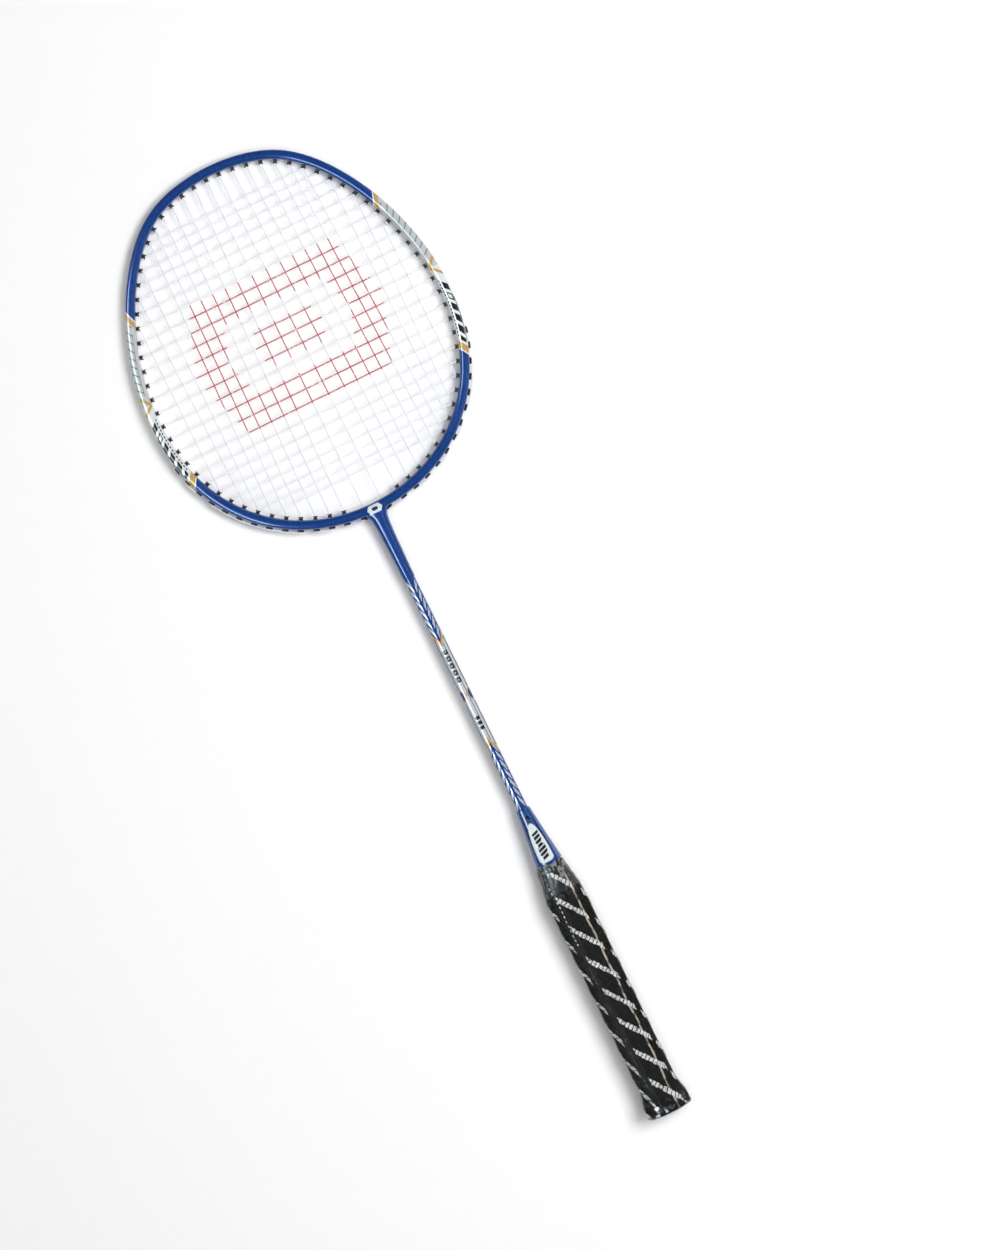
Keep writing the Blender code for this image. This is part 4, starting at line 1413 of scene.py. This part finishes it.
@dataclass
class StringBed:
    """The mains and the crosses, woven over and under each other and tied off outside the bed."""

    outline: HeadOutline
    finish: StringFinish
    radius: float = 0.36 * MM
    weave: float = 0.38 * MM
    level: float = 0.30 * MM  # how far the mains turn above the crosses' plane, and the crosses below it
    sides: int = 8
    weave_steps: int = 4
    corner: float = 0.9 * MM
    corner_steps: int = 4
    corner_share: float = 2.2  # a corner takes up no more than 1 part in this many of a run
    sharpest_corner: float = math.radians(155)
    shortest: float = 1e-7  # a shorter run counts as none
    parallel: float = 1e-12  # runs whose cross product is smaller never meet
    steepest: float = 0.25  # below this level share a string runs straight up or down
    inner_reach: float = -8.65 * MM
    groove_reach: float = -0.6 * MM
    flange_reach: float = 1.6 * MM
    knot_radius: float = 0.62 * MM
    knot_steps: int = 24
    knot_turn_steps: int = 11
    knot_pitch: float = 0.07 * MM
    main_top: tuple[int, ...] = (1, 2, 3, 4, 5, 6, 7, 9, 11, 13)
    main_bottom: tuple[int, ...] = (36, 35, 34, 33, 32, 31, 30, 29, 28, 26)
    first_cross: int = 7
    last_cross: int = 30

    def inner_end(self, number: int, side: Side, level: float) -> Vector:
        """Where a string leaves its grommet inside the head."""
        reach = self.inner_reach if number < self.outline.holes else self.outline.inner_edge
        return self.outline.along_hole(number, side, reach) + Vector((0, 0, level))

    def outer_end(self, number: int, side: Side, level: float) -> Vector:
        """Where a string turns outside the head."""
        reach = self.groove_reach if number <= self.outline.last_grooved else self.flange_reach
        return self.outline.along_hole(number, side, reach) + Vector((0, 0, level))

    def wrap(self, start: int, end: int, side: Side, level: float) -> list[Vector]:
        """Out through one hole, along the outside and in through another.

        Args:
            start: the hole it leaves by.
            end: the hole it comes back by.
            side: which half they are on.
            level: the height of the string.

        Returns:
            The points of the route.
        """
        step = 1 if end > start else -1
        outside = [self.outer_end(number, side, level) for number in range(start, end + step, step)]
        return [self.inner_end(start, side, level), *outside, self.inner_end(end, side, level)]

    def main_lines(self) -> list[tuple[Vector, Vector]]:
        """The straight runs of the mains from left to right.

        Returns:
            Both ends of each run, the top one first.
        """
        pairs = list(zip(self.main_top, self.main_bottom))
        places = [(Side.LEFT, pair) for pair in reversed(pairs)] + [(Side.RIGHT, pair) for pair in pairs]
        return [(self.inner_end(top, side, 0), self.inner_end(foot, side, 0)) for side, (top, foot) in places]

    def cross_lines(self) -> list[tuple[Vector, Vector]]:
        """The straight runs of the crosses from the top down, left end first."""
        numbers = range(self.first_cross, self.last_cross + 1)
        return [(self.inner_end(n, Side.LEFT, 0), self.inner_end(n, Side.RIGHT, 0)) for n in numbers]

    def meeting(self, a: tuple[Vector, Vector], b: tuple[Vector, Vector]) -> float | None:
        """How far along run a, as a share, it meets run b.

        Args:
            a: the run that is measured along.
            b: the run that it meets.

        Returns:
            The share, or None where they miss each other.
        """
        d, e, w = a[1] - a[0], b[1] - b[0], b[0] - a[0]
        det = d.x * e.y - d.y * e.x
        if abs(det) < self.parallel:
            return None
        share = (w.x * e.y - w.y * e.x) / det
        other = (w.x * d.y - w.y * d.x) / det
        return share if 0 < share < 1 and 0 < other < 1 else None

    def woven(
        self, run: tuple[Vector, Vector], others: Sequence[tuple[Vector, Vector]], phase: int, level: float
    ) -> list[Vector]:
        """The points of one run as it passes over and under the runs that it meets.

        Args:
            run: its two ends.
            others: the runs that it meets.
            phase: even or odd, for whether it starts over or under.
            level: its height at both ends.

        Returns:
            The points between the ends.
        """
        stops = [(0.0, level)]
        for place, other in enumerate(others):
            share = self.meeting(run, other)
            if share is not None:
                stops.append((share, self.weave if (place + phase) % 2 == 0 else -self.weave))
        stops = sorted(stops) + [(1.0, level)]
        points = []
        for (share0, z0), (share1, z1) in zip(stops, stops[1:]):
            for step in range(self.weave_steps):
                part = step / self.weave_steps
                point = run[0].lerp(run[1], share0 + (share1 - share0) * part)
                points.append(point + Vector((0, 0, z0 + (z1 - z0) * ease(part))))
        return points[1:]

    def knot(self, centre: Vector) -> list[Vector]:
        """Two turns round the neighbouring string, towards the head's centre, where a string is tied off.

        Args:
            centre: where the string comes out.

        Returns:
            The points of the knot.
        """
        direction = (self.outline.centre_point() - centre).normalized()
        side = direction.cross(UP)
        points = []
        for i in range(self.knot_steps + 1):
            angle = math.tau * i / self.knot_turn_steps
            turned = side * math.cos(angle) + UP * math.sin(angle)
            points.append(centre + direction * (self.knot_pitch * i) + turned * self.knot_radius)
        return points

    def rounded(self, route: Sequence[Vector]) -> list[Vector]:
        """Bends the sharp corners of a route.

        Args:
            route: its points.

        Returns:
            The points with each corner turned into a short curve.
        """
        found = [route[0]]
        for before, here, after in zip(route, route[1:], route[2:]):
            back, ahead = before - here, after - here
            if min(back.length, ahead.length) < self.shortest:
                continue
            if back.angle(ahead) > self.sharpest_corner:
                found.append(here)
                continue
            reach = min(self.corner, back.length / self.corner_share, ahead.length / self.corner_share)
            start, end = here + back.normalized() * reach, here + ahead.normalized() * reach
            for i in range(self.corner_steps + 1):
                t = i / self.corner_steps
                found.append(start * (1 - t) ** 2 + here * (2 * t * (1 - t)) + end * t**2)
        return [*found, route[-1]]

    def tube(
        self, name: str, node: str, corners: Sequence[Vector], white: str, shade: str
    ) -> bpy.types.Object:
        """Sweeps a round string along a route.

        Args:
            name: the piece's name.
            node: the CAD node that it stands for.
            corners: the points of its route, before its corners are bent.
            white: its colour, with painted shade on the mains and painted light on the crosses.
            shade: the painted shade between its filaments.

        Returns:
            The piece.
        """
        route = self.rounded(corners)
        points, along, around = [], [], []
        run = 0.0
        across = ACROSS
        for i, centre in enumerate(route):
            ahead = route[min(i + 1, len(route) - 1)] - route[max(i - 1, 0)]
            ahead.normalize()
            flat = ahead.cross(UP)
            if flat.length > self.steepest:
                across = flat.normalized()
            side = (across - ahead * across.dot(ahead)).normalized()
            up = side.cross(ahead)
            run += (centre - route[i - 1]).length / MM if i else 0.0
            for k in range(self.sides):
                angle = math.tau * k / self.sides
                points.append(centre + (side * math.cos(angle) + up * math.sin(angle)) * self.radius)
                along.append(run)
                around.append(math.sin(angle) * 0.5)
        faces = skin_faces(len(route), self.sides)
        piece = place_mesh(name, points, faces, {"along_mm": along, "around": around})
        return give(piece, self.finish.finish(f"braided nylon, {name}", white, shade), "string_nylon", node)

    def main_route(self) -> list[Vector]:
        """The whole route of the mains, which starts in the middle and is tied off on both sides.

        Returns:
            Its points, from one tied end to the other.
        """
        crosses = self.cross_lines()
        lines = self.main_lines()
        count = len(self.main_top)
        level = self.level
        halves = []
        for side in Side:
            middle = self.main_top[0]
            route = [self.outer_end(middle, side, level), self.inner_end(middle, side, level)]
            for i in range(count):
                place = count + i if side is Side.RIGHT else count - 1 - i
                points = self.woven(lines[place], crosses, place, level)
                route += points if i % 2 == 0 else points[::-1]
                if i + 1 < count:
                    ends = (self.main_bottom if i % 2 == 0 else self.main_top)[i : i + 2]
                    route += self.wrap(*ends, side, level)
            last = self.main_top[-1]
            route += self.wrap(last, last + 1, side, level)
            halves.append(route + self.knot(route[-1]))
        return halves[0][::-1] + halves[1]

    def cross_route(self) -> list[Vector]:
        """The whole route of the crosses, side to side from the top down.

        Returns:
            Its points, from the tie at the top to the tie at the bottom.
        """
        mains = self.main_lines()
        level = -self.level
        first = self.wrap(self.first_cross, self.first_cross - 1, Side.LEFT, level)
        route = self.knot(first[-1])[::-1] + first[::-1]
        side = Side.RIGHT
        for place, line in enumerate(self.cross_lines()):
            points = self.woven(line, mains, place + 1, level)
            route += points if side is Side.RIGHT else points[::-1]
            number = self.first_cross + place
            if number < self.last_cross:
                route += self.wrap(number, number + 1, side, level)
                side = Side.LEFT if side is Side.RIGHT else Side.RIGHT
        route += self.wrap(self.last_cross, self.last_cross + 1, side, level)
        return route + self.knot(route[-1])

    def build(self) -> None:
        """Makes both strings."""
        look = self.finish
        self.tube("mains", "main_string", self.main_route(), look.main_shaded_white, look.main_shade)
        self.tube("crosses", "cross_string", self.cross_route(), look.cross_lit_white, look.cross_shade)


# ---------------------------------------------------------------- shaft and cone


@dataclass
class Shaft:
    """The enamelled steel tube."""

    paint: EnamelFinish
    start_y: float = 97 * MM
    end_y: float = 413.7 * MM
    radius: float = 3.6 * MM
    bore: float = 2.9 * MM
    sides: int = 64
    step: float = 4 * MM
    rim: float = 0.15 * MM

    def build(self) -> bpy.types.Object:
        """Turns the tube with its bore and its softened rims.

        Returns:
            The piece.
        """
        rows = int((self.end_y - self.start_y) / self.step)
        rim = self.rim
        profile = [(self.start_y, self.radius - rim, self.radius - rim)]
        for i in range(rows + 1):
            y = self.start_y + rim + (self.end_y - self.start_y - 2 * rim) * i / rows
            profile.append((y, self.radius, self.radius))
        profile += [(self.end_y, self.radius - rim, self.radius - rim), (self.end_y, self.bore, self.bore)]
        profile.append((self.start_y, self.bore, self.bore))
        points = turned_rings(profile, self.sides)
        piece = place_mesh("shaft_tube", points, skin_faces(len(profile), self.sides, loop=True))
        paint = self.paint.finish("enamelled steel, blue with printed trim", self.paint.shaft_trim)
        return give(piece, paint, "shaft_paint", "shaft")


@dataclass
class Cone:
    """The moulded cap between grip and shaft, and its two labels."""

    plastic: ConeFinish
    foil: FoilFinish
    base_y: float = 177 * MM
    base_radius: float = 9.5 * MM
    nose_y: float = 212.5 * MM
    nose_radius: float = 4.95 * MM
    end_y: float = 215 * MM
    skirt_y: float = 156 * MM
    skirt_radius: float = 7.4 * MM
    bore: float = 3.75 * MM
    sides: int = 72
    label_start: float = 177.9 * MM
    label_end: float = 204.6 * MM
    label_half_width: float = 4.9 * MM
    label_foot: float = 2.2 * MM
    label_lift: float = 0.03 * MM
    label_thickness: float = 0.16 * MM
    label_rows: int = 56
    label_columns: int = 20
    least_half_width: float = 0.05 * MM
    hollow: float = 0.12 * MM
    rim: float = 0.3 * MM
    rows: int = 24
    nose: tuple[tuple[float, float], ...] = ((213.3, 4.86), (214.1, 4.70), (214.7, 4.45), (215.0, 4.10))

    def radius_at(self, y: float) -> float:
        """The cone's radius, a little hollow towards the nose.

        Args:
            y: the height.

        Returns:
            The radius in metres.
        """
        share = (y - self.base_y) / (self.nose_y - self.base_y)
        straight = self.base_radius + (self.nose_radius - self.base_radius) * share
        return straight - self.hollow * math.sin(math.pi * min(1.0, max(0.0, share)))

    def build(self) -> None:
        """Makes the cone and its labels."""
        profile = [
            (self.skirt_y, self.bore),
            (self.skirt_y, self.skirt_radius),
            (self.base_y, self.skirt_radius),
            (self.base_y, self.base_radius - self.rim),
            (self.base_y + self.rim, self.base_radius),
        ]
        for i in range(1, self.rows + 1):
            y = self.base_y + (self.nose_y - self.base_y) * i / self.rows
            profile.append((y, self.radius_at(y)))
        profile += [(y * MM, r * MM) for y, r in self.nose]
        profile.append((self.end_y, self.bore))
        rings = [(y, r, r) for y, r in profile]
        points = turned_rings(rings, self.sides)
        faces = skin_faces(len(rings), self.sides, loop=True)
        give(place_mesh("cone_cap", points, faces), self.plastic.finish(), "cone_plastic", "cone")
        vinyl = self.foil.cone_label()
        for facing in Facing:
            word = facing.name.lower()
            give(self.label(f"label_{word}", facing), vinyl, "label_foil", f"cone_label_{word}")

    def half_width(self, y: float) -> float:
        """Half the label's width, round at its foot and like half an ellipse at its top.

        Args:
            y: the height.

        Returns:
            The half width in metres.
        """
        foot = self.label_start + self.label_foot
        if y < foot:
            return self.label_half_width * math.sqrt(max(0.0, 1 - ((foot - y) / self.label_foot) ** 2))
        return self.label_half_width * math.sqrt(max(0.0, 1 - ((y - foot) / (self.label_end - foot)) ** 2))

    def label(self, name: str, facing: Facing) -> bpy.types.Object:
        """Bends one label round the cone.

        Args:
            name: the piece's name.
            facing: the face that it is on.

        Returns:
            The piece.
        """
        rows, columns = self.label_rows, self.label_columns
        points = []
        for row in range(rows + 1):
            share = (1 - math.cos(math.pi * row / rows)) / 2
            y = self.label_start + (self.label_end - self.label_start) * share
            half = max(self.half_width(y), self.least_half_width)
            low = self.radius_at(y) + self.label_lift
            for radius, turned in ((low, 1), (low + self.label_thickness, -1)):
                for i in range(columns + 1):
                    x = turned * half * (2 * i / columns - 1)
                    points.append(Vector((x, y, facing.value * math.sqrt(radius**2 - x**2))))
        return place_mesh(name, points, skin_faces(rows + 1, 2 * (columns + 1)))


# ---------------------------------------------------------------- handle


@dataclass
class Handle:
    """The wrapped octagonal handle: grip, finishing tape, shrunk film, butt cap and butt disc."""

    half_width: float = 13.1 * MM
    half_depth: float = 11.9 * MM
    half_facet: float = 6.8 * MM
    sides: int = 128
    film_start: float = 1.2 * MM
    film_end: float = 176.5 * MM
    grip_start: float = 1.6 * MM
    tape_start: float = 157 * MM
    wrap_end: float = 175.9 * MM
    grip_layer: tuple[float, float, float] = (0.62 * MM, 1.2 * MM, 0.10 * MM)  # depth, wall, wrinkle
    tape_layer: tuple[float, float, float] = (0.36 * MM, 0.18 * MM, 0.06 * MM)
    film_layer: tuple[float, float, float] = (0.0, 0.12 * MM, 0.22 * MM)
    edge_power: float = 26.0  # the higher, the crisper the octagon's edges
    row_step: float = 0.7 * MM
    least_rows: int = 8
    top_gather: float = 148 * MM  # above this height the wrap is more creased
    butt_gather: float = 14 * MM  # below this height too
    gather_run: float = 12 * MM
    crease_round: float = 3.2  # creases round the handle, in the noise's own units
    crease_along: float = 0.085  # and along it, per millimetre
    cap_inset: float = 2.85 * MM
    cap_end: tuple[tuple[float, float], ...] = ((0.8, 0.02), (0.8, 0.93), (1.1, 0.99), (2.2, 1.0))
    cap_rows: tuple[float, ...] = (4.0, 6.0, 8.0, 10.0, 12.0, 14.0)
    disc_sides: int = 72
    disc_profile: tuple[tuple[float, float], ...] = (  # y, radius
        (0.5, 9.0),
        (0.12, 9.0),
        (0.03, 8.92),
        (0.0, 8.8),
        (0.0, 6.0),
        (0.0, 3.0),
        (0.0, 0.1),
    )
    silhouette: tuple[tuple[float, float, float], ...] = (
        (1.2, 1.40, 0.0),
        (2.2, 2.20, 0.0),
        (4.0, 2.50, 0.0),
        (6.0, 2.50, 0.0),
        (10.0, 1.85, 0.0),
        (14.0, 0.80, 0.0),
        (18.0, 0.20, 0.0),
        (21.0, 0.00, 0.0),
        (152.0, 0.00, 0.0),
        (157.0, -0.40, 0.2),
        (164.0, -1.60, 0.65),
        (170.0, -2.70, 1.0),
        (175.9, -3.50, 1.0),
        (176.5, -3.60, 1.0),
    )

    def stand_off(self, y: float) -> tuple[float, float]:
        """How far the outside stands off the octagon at a height, and how round it is.

        Args:
            y: the height in metres.

        Returns:
            The stand-off in metres and the roundness.
        """
        for (y0, s0, r0), (y1, s1, r1) in zip(self.silhouette, self.silhouette[1:]):
            if y <= y1 * MM:
                share = max(0.0, (y / MM - y0) / (y1 - y0))
                return (s0 + (s1 - s0) * share) * MM, r0 + (r1 - r0) * share
        return self.silhouette[-1][1] * MM, self.silhouette[-1][2]

    def reach(self, angle: float, y: float, inset: float) -> float:
        """The distance from the axis to a layer of the handle.

        Args:
            angle: the direction, from +X towards +Z.
            y: the height.
            inset: how deep the layer lies.

        Returns:
            The distance, with the octagon's edges rounded off.
        """
        stand, roundness = self.stand_off(y)
        grown = stand - inset
        wide, deep = self.half_width + grown, self.half_depth + grown
        facet = self.half_facet + grown * math.tan(math.pi / 8)
        side = deep - (wide - facet)
        cx, cz = abs(math.cos(angle)), abs(math.sin(angle))
        nx, nz = deep - side, wide - facet
        size = math.hypot(nx, nz)
        corner = (nx * wide + nz * side) / size
        pull = [cx / wide, cz / deep, (nx * cx + nz * cz) / size / corner]
        octagon = sum(p**self.edge_power for p in pull) ** (-1 / self.edge_power)
        return octagon + (wide - octagon) * roundness

    def sleeve(
        self, name: str, start: float, end: float, outer: float, thickness: float, wrinkle: float
    ) -> bpy.types.Object:
        """A thin tube that follows the handle.

        Args:
            name: the piece's name.
            start: where it starts.
            end: where it ends.
            outer: how deep its outside lies.
            thickness: its wall.
            wrinkle: how deep its creases are.

        Returns:
            The piece.
        """
        rows = max(self.least_rows, int((end - start) / self.row_step))
        skins: list[list[Vector]] = [[], []]
        for row in range(rows + 1):
            y = start + (end - start) * row / rows
            at_top = ease((y - self.top_gather) / self.gather_run)
            at_butt = ease((self.butt_gather - y) / self.gather_run)
            gather = 1.0 + 1.6 * at_top + 0.8 * at_butt
            for i in range(self.sides):
                angle = math.tau * i / self.sides
                x, z = math.cos(angle) * self.crease_round, math.sin(angle) * self.crease_round
                place = Vector((x, y / MM * self.crease_along, z))
                crease = noise.noise(place) + 0.6 * noise.noise(place * 2.3 + Vector((7, 1, 3)))
                crease = min(0.0, crease * 0.8 - 0.25) if wrinkle else 0.0
                base = self.reach(angle, y, outer) + crease * wrinkle * gather
                for skin, depth in zip(skins, (0.0, thickness)):
                    out = base - depth
                    skin.append(Vector((out * math.cos(angle), y, out * math.sin(angle))))
        count = (rows + 1) * self.sides
        rings = [skins[0][i : i + self.sides] for i in range(0, count, self.sides)]
        rings += [skins[1][i : i + self.sides] for i in range(0, count, self.sides)][::-1]
        points = [point for ring in rings for point in ring]
        return place_mesh(name, points, skin_faces(len(rings), self.sides, loop=True))

    def build(self) -> None:
        """Makes every layer of the handle."""
        grip = self.sleeve("grip", self.grip_start, self.wrap_end, *self.grip_layer)
        give(grip, GripFinish().finish(), "grip_cover", "grip_tape")
        tape = self.sleeve("tape", self.tape_start, self.wrap_end, *self.tape_layer)
        give(tape, TapeFinish().finish(), "finishing_tape", "finishing_tape")
        film = self.sleeve("film", self.film_start, self.film_end, *self.film_layer)
        give(film, FilmFinish().finish(), "clear_film", "grip_film")
        self.butt()

    def butt(self) -> None:
        """Makes the cap over the end of the core and the disc on its face."""
        profile = [*self.cap_end, *[(y, 1.0) for y in self.cap_rows]]
        points = []
        for y, share in profile:
            for i in range(self.sides):
                angle = math.tau * i / self.sides
                reach = self.reach(angle, y * MM, self.cap_inset) * share
                points.append(Vector((reach * math.cos(angle), y * MM, reach * math.sin(angle))))
        cap = place_mesh("butt_plug", points, skin_faces(len(profile), self.sides))
        give(cap, CapFinish().finish(), "cap_plastic", "butt_cap")
        rows = [(y * MM, r * MM, r * MM) for y, r in self.disc_profile]
        points = turned_rings(rows, self.disc_sides)
        disc = place_mesh("butt_disc", points, skin_faces(len(rows), self.disc_sides))
        give(disc, FoilFinish().butt_label(), "label_foil", "butt_label")


@dataclass
class HandleCore:
    """The wooden core, which keeps its CAD mesh."""

    nodes: dict[str, bpy.types.Object]

    def dress(self) -> None:
        """Gives the core its wood."""
        core = self.nodes["handle_core"]
        core.data.materials.clear()
        core.data.materials.append(BeechFinish().finish())
        log.info("handle_core: %s", core.data.materials[0].name)


# ---------------------------------------------------------------- studio


@dataclass
class Studio:
    """The pale floor under the racket, the soft lights and the camera."""

    centre: tuple[float, float] = (38.78 * MM, 326.10 * MM)
    turn: float = math.radians(-26.16)
    distance: float = 2.4
    frame_height: float = 795.7 * MM
    sensor: float = 36.0
    floor_size: float = 6.0
    floor_cells: int = 12
    white: tuple[float, float, float] = (1.0, 1.0, 1.0)
    cool: tuple[float, float, float] = (0.72, 0.90, 1.0)
    room_light: float = 0.13
    butt_rest: tuple[float, float] = (5 * MM, -14.45 * MM)
    tip_rest: tuple[float, float] = (670 * MM, -5.1 * MM)

    def floor(self) -> None:
        """Lays the board so that the racket rests on its butt and its tip."""
        slope = (self.tip_rest[1] - self.butt_rest[1]) / (self.tip_rest[0] - self.butt_rest[0])
        half = self.floor_size / 2
        cells = self.floor_cells
        points = []
        for i in range(cells + 1):
            for j in range(cells + 1):
                x = -half + self.floor_size * i / cells
                y = -half + self.floor_size * j / cells
                points.append(Vector((x, y, self.butt_rest[1] + (y - self.butt_rest[0]) * slope)))
        side = cells + 1
        faces = [
            [i * side + j, (i + 1) * side + j, (i + 1) * side + j + 1, i * side + j + 1]
            for i in range(cells)
            for j in range(cells)
        ]
        board = place_mesh("floor", points, faces)
        board.data.materials.append(FloorFinish().finish())

    def lamp(
        self,
        name: str,
        direction: Vector,
        distance: float,
        size: tuple[float, float],
        watts: float,
        use: Lamp,
    ) -> None:
        """Hangs one soft panel that points at the middle of the racket.

        Args:
            name: the lamp's name.
            direction: where it hangs, seen from the racket.
            distance: how far away it is.
            size: its level width and its other width.
            watts: its power.
            use: what it is for.
        """
        data = bpy.data.lights.new(name, "AREA")
        data.shape = "RECTANGLE"
        data.size, data.size_y = size
        data.energy = watts
        data.color = self.cool if use is Lamp.GLINTS else self.white
        made = bpy.data.objects.new(name, data)
        made.location = Vector((*self.centre, 0.0)) + direction.normalized() * distance
        made.rotation_euler = direction.to_track_quat("Z", "Y").to_euler()
        made.visible_glossy = use is Lamp.GLINTS
        made.visible_diffuse = use is Lamp.SHADES
        bpy.context.scene.collection.objects.link(made)

    def lights(self) -> None:
        """Sets a soft key on the right, a sky panel, three long strips that only glint, and a dim room."""
        right = Vector((math.cos(self.turn), math.sin(self.turn), 0.0))
        up = Vector((-math.sin(self.turn), math.cos(self.turn), 0.0))
        high = UP
        self.lamp("key", right * 0.58 + up * 0.22 + high * 1.3, 1.9, (0.8, 0.8), 22.5, Lamp.SHADES)
        self.lamp("sky", right * 0.1 + high, 3.2, (3.0, 3.0), 58.0, Lamp.SHADES)
        self.lamp("left strip", Vector((-0.95, 0.0, 1.08)), 2.0, (2.6, 0.6), 60.0, Lamp.GLINTS)
        self.lamp("upper strip", Vector((-0.50, 0.0, 1.2)), 2.0, (2.6, 0.05), 3.2, Lamp.GLINTS)
        self.lamp("right strip", Vector((1.0, 0.0, 0.95)), 2.0, (2.6, 0.12), 5.5, Lamp.GLINTS)
        world = bpy.data.worlds.new("white room")
        world.use_nodes = True
        world.node_tree.nodes["Background"].inputs["Color"].default_value = (*self.white, 1.0)
        world.node_tree.nodes["Background"].inputs["Strength"].default_value = self.room_light
        bpy.context.scene.world = world
        bpy.context.scene.view_settings.view_transform = "Standard"

    def camera(self) -> None:
        """Looks straight down on the racket, turned so that it lies aslant."""
        data = bpy.data.cameras.new("camera")
        data.sensor_width = self.sensor
        data.lens = self.sensor * self.distance / self.frame_height
        made = bpy.data.objects.new("camera", data)
        made.location = (*self.centre, self.distance)
        made.rotation_euler = (0.0, 0.0, self.turn)
        bpy.context.scene.collection.objects.link(made)
        bpy.context.scene.camera = made

    def build(self) -> None:
        """Sets up the whole studio."""
        self.floor()
        self.lights()
        self.camera()


def main() -> None:
    """Builds every sub-assembly in order, then the studio."""
    logging.basicConfig(level=logging.INFO, format="%(name)s: %(message)s")
    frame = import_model()
    outline = HeadOutline()
    paint = EnamelFinish()
    hoop = Hoop(outline, paint)
    hoop.build()
    ThroatJoint(hoop, paint).build()
    Grommets(outline, NylonFinish().finish()).build()
    StringBed(outline, StringFinish()).build()
    Shaft(paint).build()
    Cone(ConeFinish(), FoilFinish()).build()
    Handle().build()
    HandleCore(frame["nodes"]).dress()
    Studio().build()


if __name__ == "__main__":
    main()
